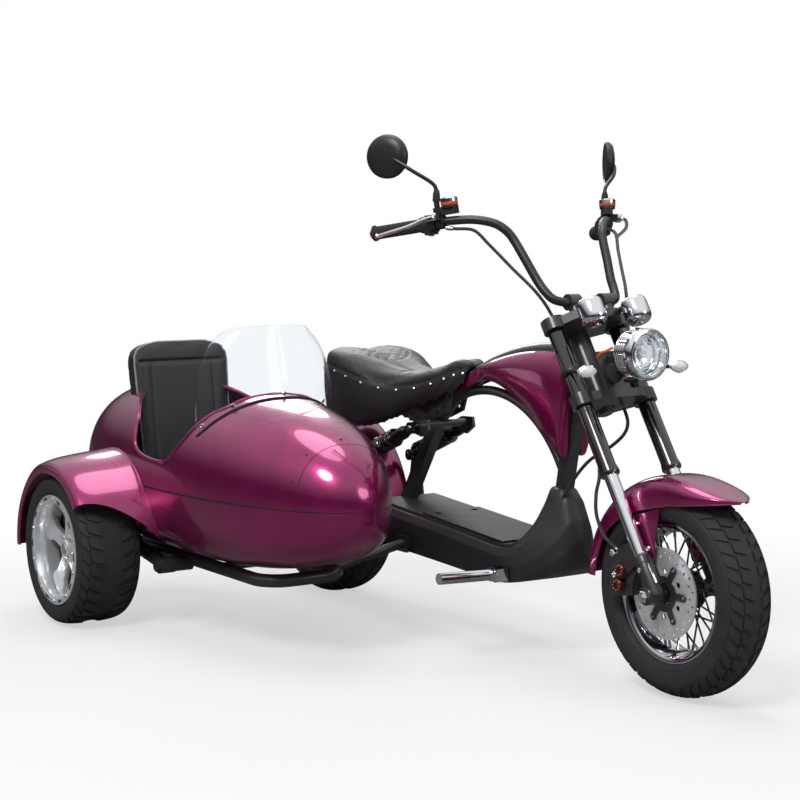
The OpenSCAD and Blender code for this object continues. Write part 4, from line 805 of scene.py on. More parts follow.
FRONT_STATIONS = smooth([(50, 299, 9), (53, 292, 36), (57, 285, 56), (63, 278, 69), (72, 272, 75), (82, 270, 75),
                         (92, 269, 75), (104, 268, 75), (118, 268, 75), (132, 268, 75), (150, 268, 75), (165, 268, 75),
                         (178, 268, 75)], 4)
FRONT_SKIRT = smooth([(5, 0, 0), (13, 0, 0), (22, 0, 0), (35, 0, 0), (50, 0, 0), (61, 0, 0), (70, 0, 0), (72, 0, 0),
                      (68, 0, 0), (58, 0, 0), (46, 0, 0), (42, 0, 0), (40, 0, 0)], 4)


class SIDECAR_OT_fenders(bpy.types.Operator):
    """Front and rear fenders of the motorcycle"""

    bl_idname = "sidecar.fenders"
    bl_label = "Fenders"

    def execute(self, context):
        def front(u, v, t):
            s, skirt, b = along_curve(FRONT_STATIONS, u), along_curve(FRONT_SKIRT, u).x, pi * v
            r = s.y - t - (skirt - t * 0.6) * (1 - power(sin(b), 0.55))
            a = radians(s.x)
            return FRONT + Vector((r * cos(a), -(s.z - t) * power(cos(b), 0.55), r * sin(a)))

        bm = join(bmesh.new(), shell(72, 40, front, 3))
        join(bm, tube([front(u / 60, 0, 1.5) for u in range(61)], 2.2, fine=2), both=True)
        lobe = [(x + FRONT.x, z + FRONT.z) for x, z in
                ((-2, 195), (-8, 150), (-18, 92), (-22, 60), (-34, 47), (-52, 56), (-62, 84), (-92, 140), (-106, 164))]
        join(bm, slab(lobe, 72.6, 75.6), both=True)
        for x, z in ((-34, 66), (-34, 100), (-76, 150)):
            bolt(bm, FRONT + Vector((x, 75.6, z)), (0, 1, 0), 6.5, 4, 1, both=True)
        make_piece(bm, "fender_front", "steering", "candy_lacquer chrome_plate", "front_fender")

        def rear(u, v, t):
            b, a = pi * v, radians(mix(-2, 158, u))
            r = 298 - 62 + (62 - t) * power(sin(b), 0.55)
            return REAR + Vector((r * cos(a), -(90 - t) * power(cos(b), 0.55), r * sin(a)))

        bm = join(bmesh.new(), shell(80, 40, rear, 3))
        join(bm, tube([rear(u / 60, 0, 1.5) for u in range(61)], 2.2, fine=2), both=True)
        for angle in (64, 118):
            a = radians(angle)
            bolt(bm, REAR + Vector((252 * cos(a), 89, 252 * sin(a))), (0, 1, 0), 6, 4, 1, both=True)
        make_piece(bm, "fender_rear", "chassis", "candy_lacquer chrome_plate", "rear_fender")
        return {"FINISHED"}


# ---------- seats ----------

SADDLE_STATIONS = [(112, 34, 690, 664, 630), (122, 84, 716, 682, 592), (150, 118, 729, 694, 558),
                   (205, 136, 731, 692, 536), (265, 137, 722, 680, 527), (330, 124, 704, 664, 530),
                   (400, 101, 688, 650, 546), (470, 79, 682, 648, 572), (540, 60, 690, 660, 600),
                   (610, 48, 706, 680, 624), (660, 43, 722, 697, 640), (700, 37, 728, 706, 662),
                   (722, 26, 722, 711, 699)]


def saddle_station(u):
    """The saddle's section at a share of its length: x, half width, top, rim and skirt heights."""
    at = min(max(u, 0), 1) * (len(SADDLE_STATIONS) - 1)
    i = min(int(at), len(SADDLE_STATIONS) - 2)
    rows = [SADDLE_STATIONS[min(max(k, 0), len(SADDLE_STATIONS) - 1)] for k in (i - 1, i, i + 1, i + 2)]
    t = at - i
    return [0.5 * (2 * b + (c - a) * t + (2 * a - 5 * b + 4 * c - d) * t * t + (3 * b - a - 3 * c + d) * t**3)
            for a, b, c, d in zip(*rows)]


def saddle_side(u):
    """Half a section of the saddle from the skirt's foot to the middle of the top, as (across, height)."""
    x, w, top, rim, low = saddle_station(u)
    return x, smooth([(w * 0.93, low, 0), (w * 1.0, mix(low, rim, 0.45), 0), (w * 0.99, rim, 0),
                      (w * 0.9, mix(rim, top, 0.7), 0), (w * 0.55, top - 1, 0), (0, top - 8, 0)], 6)


def saddle_point(u, v, lift=0.0):
    """A point over the saddle from the foot of one skirt (v=0) to the other (v=1)."""
    x, half = saddle_side(u)
    p = along_curve(half, 1 - abs(2 * v - 1))
    side = 1 if v < 0.5 else -1
    return Vector((x, side * p.x, p.y + lift))


class SIDECAR_OT_saddle(bpy.types.Operator):
    """Sprung saddle: padded leather top, sewn edge and studs"""

    bl_idname = "sidecar.saddle"
    bl_label = "Saddle"

    def execute(self, context):
        def skin(u, v, t):
            p = saddle_point(mix(0.004, 0.996, u), v)
            if t:
                _, half = saddle_side(mix(0.004, 0.996, u))
                p = Vector((p.x, p.y * 0.8, min(p.z - 14, mix(half[0].y, half[-1].y, 0.62))))
            return p

        bm = join(bmesh.new(), shell(80, 36, skin, 1))
        piece = make_piece(bm, "saddle_pad", "", "leather", crease=60)

        def sewn(p):
            """A groove under the rim, and a quilted patch on the rider's place."""
            _, w, _, rim, _ = saddle_station(saddle_share(p.x))
            side = abs(p.y) / max(w, 1)
            depth = 3.0 * gauss(p.z - (rim - 4), 3.5) * (side > 0.8)
            p = Vector((p.x, p.y * (1 - depth / max(w, 1)), p.z))
            if p.z > rim:
                oval = hypot((p.x - 236) / 92, p.y / 88)
                if oval < 1:
                    p.z -= 2.4 * max(gauss((p.x - 236 + p.y + 600) % 34 - 17, 2.6),
                                     gauss((p.x - 236 - p.y + 600) % 34 - 17, 2.6))
                p.z -= 3.0 * gauss((oval - 1) * 88, 2.6)
            return p

        stuffed(piece, 6, 3, 5, sewn)
        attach(piece, "chassis")
        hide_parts("saddle")
        bm = bmesh.new()
        for side in (0.2, 0.8):
            edge = [saddle_point(i / 60, side) for i in range(2, 59)]
            out = 1 if side < 0.5 else -1
            for i in range(13):
                p = along_curve(edge, (i + 0.5) / 13) + Vector((0, out * 4, -16))
                p = pulled_onto(piece, [p])[0]
                join(bm, turned([(5.0, -1), (4.8, 1.2), (3.0, 3.0), (0, 3.6)], 12), 0, aim(p, (0, out, 0.15)))
        make_piece(bm, "saddle_studs", "chassis", "chrome_plate")
        return {"FINISHED"}


def pulled_onto(piece, points):
    """The points (mm), each moved onto the nearest surface of the piece."""
    return [FROM_FRAME @ piece.closest_point_on_mesh(TO_FRAME @ point)[1] for point in points]


def saddle_share(x):
    """The share of the saddle's length at x."""
    for i, (a, b) in enumerate(zip(SADDLE_STATIONS, SADDLE_STATIONS[1:])):
        if x <= b[0]:
            return (i + (x - a[0]) / (b[0] - a[0])) / (len(SADDLE_STATIONS) - 1)
    return 1.0


def gauss(distance, width):
    """A groove's section: 1 in its middle, falling off over `width`."""
    return 2.718281828 ** -((distance / width) ** 2)


SEAT_W, SEAT_TOP_Z, BACK_X, BACK_LOW_Z, BACK_H, BACK_T, BACK_TILT = 157, 352, -5, 330, 440, 58, radians(8)
BACK_PLACE = Matrix.Translation((BACK_X, TUB_Y, BACK_LOW_Z)) @ Matrix.Rotation(-BACK_TILT, 4, "Y")


def back_outline(inset, count=48):
    """The back cushion's edge in its own plane as (across, up)."""
    w, points = SEAT_W - inset, []
    for i in range(count + 1):
        a = pi * i / count
        points.append((w * power(cos(a), 0.55), BACK_H - 90 + (90 - inset) * power(sin(a), 0.55)))
    return points + [(-w + 14, inset), (w - 14, inset)]


class SIDECAR_OT_seats(bpy.types.Operator):
    """The passenger's seat: stuffed base and tall back with sewn panels and welts"""

    bl_idname = "sidecar.seats"
    bl_label = "Sidecar seat"

    def execute(self, context):
        welt = size("piping_r")
        # Base
        bm = join(bmesh.new(), block((340, 2 * SEAT_W - 8, 62), (172, TUB_Y, SEAT_TOP_Z - 36), 12))
        base = make_piece(bm, "seat_base", "", "leather", crease=60)

        def base_seams(p):
            y = abs(p.y - TUB_Y)
            if p.z > SEAT_TOP_Z - 30:
                p.z -= 5.5 * max(gauss(y - 96, 4), gauss(p.x - 262, 4) * (y < 96))
                for x in (60, 128, 196):
                    p.z -= 4.0 * gauss(p.x - x, 4) * (y < 96)
            return p

        stuffed(base, 6, 4, 6, base_seams)
        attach(base, "chassis")
        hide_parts("sidecar_seat")

        # Back
        bm = bmesh.new()
        part = bmesh.new()
        face = part.faces.new([part.verts.new((-6, y, z)) for y, z in back_outline(5)])
        raised = bmesh.ops.extrude_face_region(part, geom=[face])["geom"]
        bmesh.ops.translate(part, vec=(12 - BACK_T, 0, 0),
                            verts=[v for v in raised if isinstance(v, bmesh.types.BMVert)])
        join(bm, part, 0, BACK_PLACE)
        back = make_piece(bm, "seat_back", "", "leather", crease=60)
        to_back = BACK_PLACE.inverted()

        def back_seams(p):
            q = to_back @ p
            if q.x > -24:
                side = abs(q.y)
                groove = max(0.45 * gauss(side - 96, 4) * (60 < q.z < 372), gauss(q.z - 372, 4) * (side < 130))
                q.x -= 6 * groove
            return BACK_PLACE @ q

        stuffed(back, 6, 4, 5, back_seams)
        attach(back, "chassis")
        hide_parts("sidecar_seat_back")

        # Welts round the faces
        bm = bmesh.new()
        rim = [BACK_PLACE @ Vector((-1, y, z)) for y, z in back_outline(3)]
        join(bm, tube(pulled_onto(back, rim), welt, closed=True, fine=2))
        top = SEAT_TOP_Z - 10
        x0, x1, w = 8, 336, SEAT_W - 6
        corner = [(x0 + 20, w), (x0 + 5, w - 5), (x0, w - 20), (x0, 20 - w), (x0 + 5, 5 - w), (x0 + 20, -w),
                  (x1 - 20, -w),
                  (x1 - 5, 5 - w), (x1, 20 - w), (x1, w - 20), (x1 - 5, w - 5), (x1 - 20, w)]
        rim = pulled_onto(base, [Vector((x, TUB_Y + y, top)) for x, y in corner])
        join(bm, tube(rim, welt, closed=True, fine=2))
        make_piece(bm, "seat_welts", "chassis", "welt")
        bm = join(bmesh.new(), block((210, 172, 62), (220, TUB_Y, 246), 3))
        make_piece(bm, "seat_box", "chassis", "moulded_abs")
        return {"FINISHED"}


# ---------- wheels ----------


def tyre_section(w, rim_w, r, bead, square, drop=0.0):
    """Half a tyre's section as (radius, across), from bead to crown, lowered by `drop` at the tread."""
    foot = bead + 10
    widest = foot + 0.45 * (r - foot)
    low = [(bead, rim_w / 2)]
    low += [(widest + (widest - foot) * sin(radians(a)), rim_w / 2 + (w - rim_w) / 2 * cos(radians(a)))
            for a in range(-90, 1, 9)]
    high = []
    for a in range(4, 91, 4):
        s, c = sin(radians(a)) ** square, cos(radians(a)) ** square if a < 90 else 0
        ease = drop * min(1, max(0, (a - 22) / 8))
        high.append((widest + (r - widest) * s - ease, w / 2 * c))
    return low + high


def tyre_point(w, rim_w, r, bead, square, a, drop):
    """A point of the tyre's outer face at `a` degrees from its side to its crown, below by `drop`."""
    foot = bead + 10
    widest = foot + 0.45 * (r - foot)
    s = abs(sin(radians(a))) ** square
    return widest + (r - widest) * s - drop, w / 2 * power(cos(radians(a)), square)


def tyre_piece(name, body, replaces, axle, w, rim_w, r, bead, square, blocks, pattern, top=90):
    """A tyre with raised tread blocks; `pattern` gives each block's turn and half width at a share across."""
    depth = size("tread_depth")
    half = tyre_section(w, rim_w, r, bead, square, depth)
    profile = half + [(q[0], -q[1]) for q in reversed(half) if q[1] > 0.01]
    bm = join(bmesh.new(), turned(profile, 120, closed=True), 0, about_axle(axle))
    # Raised rings on the side walls
    for ring in (0.28, 0.62):
        a = mix(-60, 10, ring)
        foot = bead + 10
        widest = foot + 0.45 * (r - foot)
        rr = widest + (widest - foot) * sin(radians(a)) if a < 0 else widest
        yy = rim_w / 2 + (w - rim_w) / 2 * cos(radians(a)) if a < 0 else w / 2
        for side in (-1, 1):
            ringed = [(rr - 1.6, side * (yy - 1.2)), (rr - 0.8, side * (yy + 0.5)), (rr + 0.8, side * (yy + 0.5)),
                      (rr + 1.6, side * (yy - 1.2))]
            join(bm, turned(ringed, 96, closed=True), 0, about_axle(axle))
    for side in (-1, 1):
        for low, high, start in pattern:
            for k in range(blocks):
                middle = 2 * pi * (k + start + (0.5 if side > 0 else 0)) / blocks

                def place(u, v, t):
                    turn, half_width = block_shape(u, low, high)
                    a = mix(26, top, mix(low, high, u))
                    radius, across = tyre_point(w, rim_w, r, bead, square, a, t)
                    angle = middle + (turn + half_width * (2 * v - 1)) * 2 * pi / blocks
                    return Vector((radius * cos(angle), radius * sin(angle), side * across))

                join(bm, shell(6, 2, place, depth + 1), 0, about_axle(axle))
    return make_piece(bm, name, body, "tyre_rubber", replaces, crease=38)


def block_shape(u, low, high):
    """A block's turn round the tyre and half width, both as shares of a pitch, at a share across."""
    v = mix(low, high, u)
    return 1.1 * (1 - v) ** 1.4, mix(0.40, 0.30, v)


class SIDECAR_OT_tyres(bpy.types.Operator):
    """The three tyres with their treads"""

    bl_idname = "sidecar.tyres"
    bl_label = "Tyres"

    def execute(self, context):
        tyre_piece("tyre_front", "front_wheel", "front_tyre", FRONT, 132, 84, 243.5, 152, 1.0, size("front_blocks"),
                   ((0.0, 0.46, 0), (0.52, 0.88, 0.3)), 87)
        tyre_piece("tyre_rear", "rear_wheel", "rear_tyre", REAR, 150, 110, 243.5, 152, 0.8, size("rear_blocks"),
                   ((0.0, 0.5, 0), (0.56, 0.9, 0.35)), 87)
        tyre_piece("tyre_side", "sidecar_wheel", "sidecar_tyre", SIDE, 174, 152, 204.5, 140, 0.6, size("side_blocks"),
                   ((0.0, 0.42, 0), (0.47, 0.9, 0.4)), 88)
        return {"FINISHED"}


class SIDECAR_OT_side_rim(bpy.types.Operator):
    """Deep-dished cast rim of the sidecar wheel with its bolted lip"""

    bl_idname = "sidecar.side_rim"
    bl_label = "Sidecar rim"

    def execute(self, context):
        bm = bmesh.new()
        out = about_axle(SIDE)  # Z runs out to the right
        # Barrel: lip, step and dish down to the spokes
        dish = [(149, 80), (149, 76), (140, 76), (139, 60), (133, 44), (132, -40), (140, -60), (140, -76), (149, -76),
                (149, -80), (135, -80), (134, -58), (127, -42), (127, 30), (124, 48), (126, 66), (131, 80)]
        join(bm, turned(dish, 120, closed=True), 0, out)
        join(bm, turned([(149, 79), (149, 83.5), (146, 85), (133, 85), (130.5, 83), (130.5, 79)], 120, closed=True),
             0, out)
        # Centre disc with its spokes
        for k in range(5):
            a = radians(72 * k + 18)
            turn = out @ Matrix.Rotation(a, 4, "Z")
            spoke = bmesh.new()
            shape = [(26, -24), (26, 24), (60, 20), (96, 21), (130, 40), (130, -40), (96, -21), (60, -20)]
            face = spoke.faces.new([spoke.verts.new((x, y, 22)) for x, y in shape])
            raised = bmesh.ops.extrude_face_region(spoke, geom=[face])["geom"]
            bmesh.ops.translate(spoke, vec=(0, 0, 18), verts=[v for v in raised if isinstance(v, bmesh.types.BMVert)])
            flat = [e for e in spoke.edges if abs(e.verts[0].co.z - e.verts[1].co.z) < 0.01]
            bmesh.ops.bevel(spoke, geom=flat, offset=3, offset_type="OFFSET", affect="EDGES", segments=3,
                            profile=0.5, material=-1)
            join(bm, spoke, 0, turn)
        join(bm, turned([(0, 52), (22, 52), (25, 49), (26, 44), (40, 40), (46, 34), (46, 16), (34, 12), (34, -24),
                         (22, -26), (0, -26)], 64), 0, out)
        # Painted shade: a dark disc behind the spokes that darkens the pockets, and dark blocks on the lip that stand
        # in for the shade in its slots; and the lip's bolts
        join(bm, turned([(40, 14), (128, 14), (128, 8), (40, 8)], 64, closed=True), 1, out)
        for k in range(20):
            a = radians(18 * k)
            place = out @ Matrix.Rotation(a, 4, "Z") @ Matrix.Translation((139.6, 0, 85))
            if k % 2:
                head = turned([(0, 1.2), (1.8, 1.2), (2.0, 3.0), (3.6, 3.0), (4.4, 2.2), (4.4, -0.5), (0, -0.5)], 14)
                join(bm, head, 2, place)
            else:
                # Dark block on the lip: painted shade standing in for a slot
                join(bm, block((6, 20, 2), (0, 0, 0.2), 0.9), 1, place)
        join(bm, turned([(0, 54), (15, 54), (17, 52), (17, 46), (0, 46)], 6), 2, out)
        for k in range(5):
            a = radians(72 * k + 54)
            join(bm, rod(5, 40, 46, 0.8, 6), 2, out @ Matrix.Translation((33 * cos(a), 33 * sin(a), 0)))
        make_piece(bm, "rim_side", "sidecar_wheel", "cast_aluminium rubber chrome_plate", "sidecar_rim",
                   crease=30)
        return {"FINISHED"}


# ---------- floor, shocks and pegs ----------

# Lines of the floor pan's left half, each running from its rear end to the front of its nose
PAN_LINES = (
    ((384, 0, 327), (600, 0, 310), (800, 0, 294), (960, 0, 282), (1010, 0, 298), (1040, 0, 340), (1056, 0, 392),
     (1064, 0, 430), (1068, 0, 434)),
    ((384, 95, 327), (600, 95, 310), (800, 95, 294), (960, 95, 282), (1010, 84, 298), (1040, 60, 340),
     (1056, 38, 392), (1064, 24, 430), (1070, 0, 434)),
    ((384, 98, 319), (600, 98, 302), (800, 98, 286), (960, 98, 273), (1018, 88, 289), (1050, 64, 332),
     (1068, 41, 386), (1077, 25, 428), (1082, 0, 432)),
    ((384, 103, 317), (600, 103, 300), (800, 103, 284), (960, 103, 270), (1024, 93, 286), (1058, 69, 328),
     (1078, 44, 382), (1088, 26, 428), (1094, 0, 432)),
    ((384, 112, 321), (600, 112, 304), (800, 112, 288), (960, 112, 274), (1032, 100, 286), (1070, 75, 326),
     (1092, 47, 380), (1102, 26, 426), (1108, 0, 430)),
    ((384, 122, 300), (600, 122, 285), (800, 122, 269), (960, 122, 256), (1038, 108, 264), (1084, 82, 302),
     (1112, 52, 352), (1124, 28, 402), (1130, 0, 410)),
    ((384, 124, 268), (600, 124, 262), (800, 124, 250), (960, 124, 240), (1042, 112, 242), (1096, 86, 270),
     (1130, 56, 312), (1146, 30, 352), (1152, 0, 362)),
    ((384, 123, 236), (600, 123, 230), (800, 123, 220), (960, 123, 212), (1042, 112, 216), (1102, 86, 238),
     (1140, 54, 268), (1158, 26, 298), (1164, 0, 310)),
    ((384, 121, 213), (600, 121, 207), (800, 121, 198), (960, 121, 190), (1040, 110, 198), (1098, 82, 215),
     (1138, 50, 236), (1156, 24, 262), (1164, 0, 280)),
    ((384, 0, 212), (600, 0, 206), (800, 0, 197), (960, 0, 190), (1040, 0, 197), (1098, 0, 214), (1138, 0, 234),
     (1154, 0, 258), (1164, 0, 279)),
)


class SIDECAR_OT_floor(bpy.types.Operator):
    """Moulded floor pan with its channel and shoulder, and its bolts"""

    bl_idname = "sidecar.floor"
    bl_label = "Floor pan"

    def execute(self, context):
        lines = [smooth(line, 8) for line in PAN_LINES]

        def pan(u, v):
            across = [along_curve(line, u) for line in lines]
            return along_curve(across, v)

        part = sheet(64, 72, pan)
        rear = [e for e in part.edges if e.is_boundary and all(v.co.x < 385 for v in e.verts)]
        bmesh.ops.contextual_create(part, geom=rear)
        bm = join(bmesh.new(), part, both=True)
        bmesh.ops.remove_doubles(bm, verts=bm.verts, dist=0.02)
        for x in (470, 560):
            bolt(bm, (x, 124, 232), (0, 1, 0), 6, 3, 1, both=True)
        bolt(bm, (1090, 27, 398), (0.25, 1, 0.3), 9, 5, 1, both=True)
        bolt(bm, (975, 122.5, 222), (0, 1, 0), 4, 2, 1, both=True)
        make_piece(bm, "floor_tray", "chassis", "moulded_abs chrome_plate", "floor_pan", crease=26)
        return {"FINISHED"}


def shock(bm, low, high, r, turns, wire):
    """A spring and damper between two eyes: 0 is black, 1 chrome."""
    low, high = Vector(low), Vector(high)
    span = (high - low).length
    place = aim(low, high - low)
    join(bm, rod(r * 0.34, 0, span * 0.7), 1, place)
    join(bm, turned([(0, span * 0.62), (r * 0.6, span * 0.62), (r * 0.7, span * 0.64), (r * 0.7, span * 0.86),
                     (r * 0.5, span * 0.93), (0, span * 0.93)], 32), 0, place)
    for z, thick in ((0.12, 0.04), (0.66, 0.05)):
        join(bm, turned([(0, span * z), (r * 0.9, span * z), (r, span * (z + thick * 0.3)),
                         (r, span * (z + thick * 0.8)),
                         (r * 0.9, span * (z + thick)), (0, span * (z + thick))], 32), 0, place)
    coil = tube(helix(r - wire, span * 0.16 + wire, span * 0.67 - wire, turns), wire, fine=2)
    join(bm, coil, 0, place)
    for end in (low, high):
        eye = turned([(r * 0.32, -11), (r * 0.62, -11), (r * 0.62, 11), (r * 0.32, 11)], 28, closed=True)
        join(bm, eye, 0, about_axle(end))
        join(bm, rod(r * 0.3, -14, 14, 0.8, 20), 1, about_axle(end))


class SIDECAR_OT_shocks(bpy.types.Operator):
    """The rear pair and the sidecar's spring and damper units"""

    bl_idname = "sidecar.shocks"
    bl_label = "Shocks"

    def execute(self, context):
        bm = bmesh.new()
        for side in (-92, 92):
            shock(bm, (272, side, 425), (549, side, 537), 26, 11, size("spring_wire"))
        make_piece(bm, "shocks_rear", "chassis", "gloss_black chrome_plate", "rear_shocks")
        bm = bmesh.new()
        shock(bm, (70, -622, 178), (-120, -622, 200), 14, 11, 2.4)
        make_piece(bm, "shock_side", "chassis", "gloss_black chrome_plate", "sidecar_shock")
        return {"FINISHED"}


class SIDECAR_OT_tail_lamp(bpy.types.Operator):
    """Tail lamp and plate holder on the rear fender"""

    bl_idname = "sidecar.tail_lamp"
    bl_label = "Tail lamp"

    def execute(self, context):
        bm = bmesh.new()
        out = Matrix.Rotation(radians(-140), 4, "Y")
        join(bm, block((46, 44, 32), (321.3, 0, 0), 3), 0, Matrix.Translation(REAR) @ out)
        back = Matrix.Translation((-268, 0, 476)) @ Matrix.Rotation(radians(-90), 4, "Y")
        join(bm, turned([(0, 0), (29, 0), (32, 3), (32, 14), (30, 16), (0, 16)], 48), 0, back)
        join(bm, turned([(0, 15), (28, 15), (28, 24), (22, 28), (10, 29), (0, 29)], 48), 1, back)
        for r in (9, 17, 24):
            join(bm, turned([(r, 24), (r + 1.2, 29.4 if r < 20 else 27), (r + 2.4, 24)], 48, closed=True), 1, back)
        join(bm, block((18, 32, 54), (-281, 0, 439), 2), 0)
        join(bm, block((3, 150, 96), (-291.5, 0, 392), 1.2), 0)
        for y in (-42, 42):
            bolt(bm, (-293, y, 422), (-1, 0, 0), 5, 2.5, 2)
        make_piece(bm, "lamp_tail", "chassis", "moulded_abs red_lens chrome_plate", "tail_light")
        return {"FINISHED"}


# ---------- fork and brakes ----------


def fork(n, y, s):
    """A point given in the fork's own frame."""
    return ON_FORK @ Vector((n, y, s))


FORK_UP = ON_FORK.to_3x3() @ Vector((0, 0, 1))


class SIDECAR_OT_fork(bpy.types.Operator):
    """Fork tubes, chrome sliders, black feet and the front axle"""

    bl_idname = "sidecar.fork"
    bl_label = "Fork legs"

    def execute(self, context):
        bm = bmesh.new()
        for side in (-95, 95):
            place = ON_FORK @ Matrix.Translation((14, side, 0))
            tube_profile = [(16.7, 295), (22.6, 295), (23.5, 297), (23.5, 306), (21, 318), (21, 708), (19, 712),
                            (0, 712)]
            join(bm, turned(tube_profile, 48), 0, place)
            join(bm, turned([(23.6, 299), (24.2, 300), (24.2, 302), (23.6, 303)], 48), 0, place)
            join(bm, rod(7, 711, 716, 1, 6), 1, place)
        make_piece(bm, "fork_uppers", "steering", "gloss_black chrome_plate", "fork_tubes")
        bm = bmesh.new()
        for side in (-1, 1):
            place = ON_FORK @ Matrix.Translation((14, side * 95, 0))
            join(bm, rod(16.5, 84, 303), 0, place)
            join(bm, turned([(0, -12), (14, -12), (19, -8), (20, 0), (20, 84), (18.5, 92), (17, 94), (0, 94)], 48),
                 1, place)
            join(bm, turned([(20, 70), (20.8, 71), (20.8, 74), (20, 75)], 48), 1, place)
            join(bm, rod(21, -21, 21, 2, 48), 1, about_axle(FRONT + Vector((0, side * 95, 0))))
            join(bm, turned([(0, 21), (14.5, 21), (14.5, 28), (12, 30), (8, 30), (8, 34), (0, 34)], 6), 0,
                 about_axle(FRONT + Vector((0, side * 95, 0)), side))
            join(bm, tube([fork(34, side * 100, 16), fork(30, side * 99, 60), fork(28, side * 98, 96)], 4), 0)
            bolt(bm, fork(14, side * 115.5, 58), (0, side, 0), 6, 3, 0)
        join(bm, rod(12, -74, -60, 0.8, 32), 1, about_axle(FRONT))
        join(bm, rod(8, -110, 110, 0.8, 24), 0, about_axle(FRONT))
        join(bm, rod(12, 55, 75, 0.8, 32), 1, about_axle(FRONT))
        lug = [(x + FRONT.x, z + FRONT.z) for x, z in ((-50, 64), (-20, 70), (-34, 104), (-60, 118), (-118, 92),
                (-142, 52),
                                                       (-143, 18), (-120, 8))]
        join(bm, slab(lug, -96.5, -88.5, 2), 1)
        for x, z in ((-62, 104), (-126, 28)):
            bolt(bm, FRONT + Vector((x, -96.5, z)), (0, -1, 0), 8, 5, 0)
        make_piece(bm, "fork_lowers", "steering", "chrome_plate powder_coat", "fork_legs")
        return {"FINISHED"}


class SIDECAR_OT_brakes(bpy.types.Operator):
    """Caliper pistons and banjo bolt, and the disc carriers"""

    bl_idname = "sidecar.brakes"
    bl_label = "Brakes"

    def execute(self, context):
        bm = bmesh.new()
        for angle in (158, 177):
            a = radians(angle)
            here = FRONT + Vector((112 * cos(a), -96.6, 112 * sin(a)))
            ring = turned([(0, 6), (6, 6), (7, 9), (14, 9), (16, 7), (16.5, -2), (0, -2)], 32)
            join(bm, ring, 0, about_axle(here))
            for k in range(8):
                b = 2 * pi * k / 8
                spot = here + Vector((11 * cos(b), 0, 11 * sin(b)))
                join(bm, rod(1.8, 8.6, 9.8, 0.3, 8), 1, about_axle(spot))
        join(bm, turned([(0, -2), (9, -2), (9, 8), (7, 10), (0, 10)], 6), 1,
             about_axle(FRONT + Vector((-133, -92, 78))))
        make_piece(bm, "caliper_pistons", "steering", "red_anodise chrome_plate")
        for name, body, axle, y, r, arms, bore in (("carrier_front", "front_wheel", FRONT, -56, 66, 6, 27),
                                                   ("carrier_rear", "rear_wheel", REAR, 82, 60, 5, 24)):
            side = -1 if y < 0 else 1
            bm = bmesh.new()
            out = about_axle(axle + Vector((0, y, 0)), side)
            join(bm, turned([(bore, 2.4), (bore + 14, 2.4), (bore + 14, 6), (bore, 6)], 48, closed=True), 0, out)
            for k in range(arms):
                turn = out @ Matrix.Rotation(2 * pi * k / arms, 4, "Z")
                join(bm, block((r - bore - 8, 17, 3.4), ((r + bore + 8) / 2, 0, 4.2), 1.2), 0, turn)
                join(bm, rod(9, 2.4, 6.6, 1, 24), 0, turn @ Matrix.Translation((r, 0, 0)))
                join(bm, rod(4, 6, 8.4, 0.8, 6), 1, turn @ Matrix.Translation((r, 0, 0)))
            make_piece(bm, name, body, "powder_coat chrome_plate")
        return {"FINISHED"}


class SIDECAR_OT_front_wheel(bpy.types.Operator):
    """Chrome barrel, black hub and crossed black spokes of the front wheel"""

    bl_idname = "sidecar.front_wheel"
    bl_label = "Front wheel"

    def execute(self, context):
        bm, axle = bmesh.new(), about_axle(FRONT)
        half = [(161, 46), (161, 43), (154, 40), (150, 26), (141, 14), (141, 0)]
        inner = [(137, 0), (137, 16), (146, 30), (149, 42), (156, 46)]
        outer = half + [(r, -y) for r, y in reversed(half[:-1])]
        back = [(r, -y) for r, y in reversed(inner[1:])] + inner
        join(bm, turned(outer + back, 96, closed=True), 0, axle)
        hub = [(13, 54), (22, 54), (24, 52), (24, 34), (44, 32), (44, 28), (27, 24), (24, 14)]
        join(bm, turned(hub + [(r, -y) for r, y in reversed(hub)], 64, closed=True), 1, axle)
        for side in (-1, 1):
            for k in range(18):
                way = 1 if k % 2 else -1
                a = radians(20 * k)
                b = a + radians(38 * way)
                foot = FRONT + Vector((39 * cos(a), side * (30 + 4.5 * way), 39 * sin(a)))
                tip = FRONT + Vector((138 * cos(b), side * (8 + 3 * way), 138 * sin(b)))
                join(bm, rod(2.3, -2, (tip - foot).length, 0.4, 10), 1, aim(foot, tip - foot))
                join(bm, rod(3.6, (tip - foot).length - 15, (tip - foot).length, 0.6, 10), 0, aim(foot, tip - foot))
        make_piece(bm, "wheel_front", "front_wheel", "chrome_plate satin_black", "front_rim")
        return {"FINISHED"}


# ---------- handlebar ----------

GRIP_END, GRIP_START = Vector((769, 356, 1056)), Vector((908, 268, 1081))
GRIP_AXIS = (GRIP_END - GRIP_START).normalized()
GRIP_LEN = (GRIP_END - GRIP_START).length
ON_GRIP = (Matrix.Translation(GRIP_START) @ Matrix.Rotation(atan2(GRIP_AXIS.y, GRIP_AXIS.x), 4, "Z")
           @ Matrix.Rotation(acos(GRIP_AXIS.z), 4, "Y"))
MIRROR_C, MIRROR_YAW, MIRROR_FOOT = Vector((822, 352, 1244)), radians(57), Vector((911.6, 265.8, 1135.4))


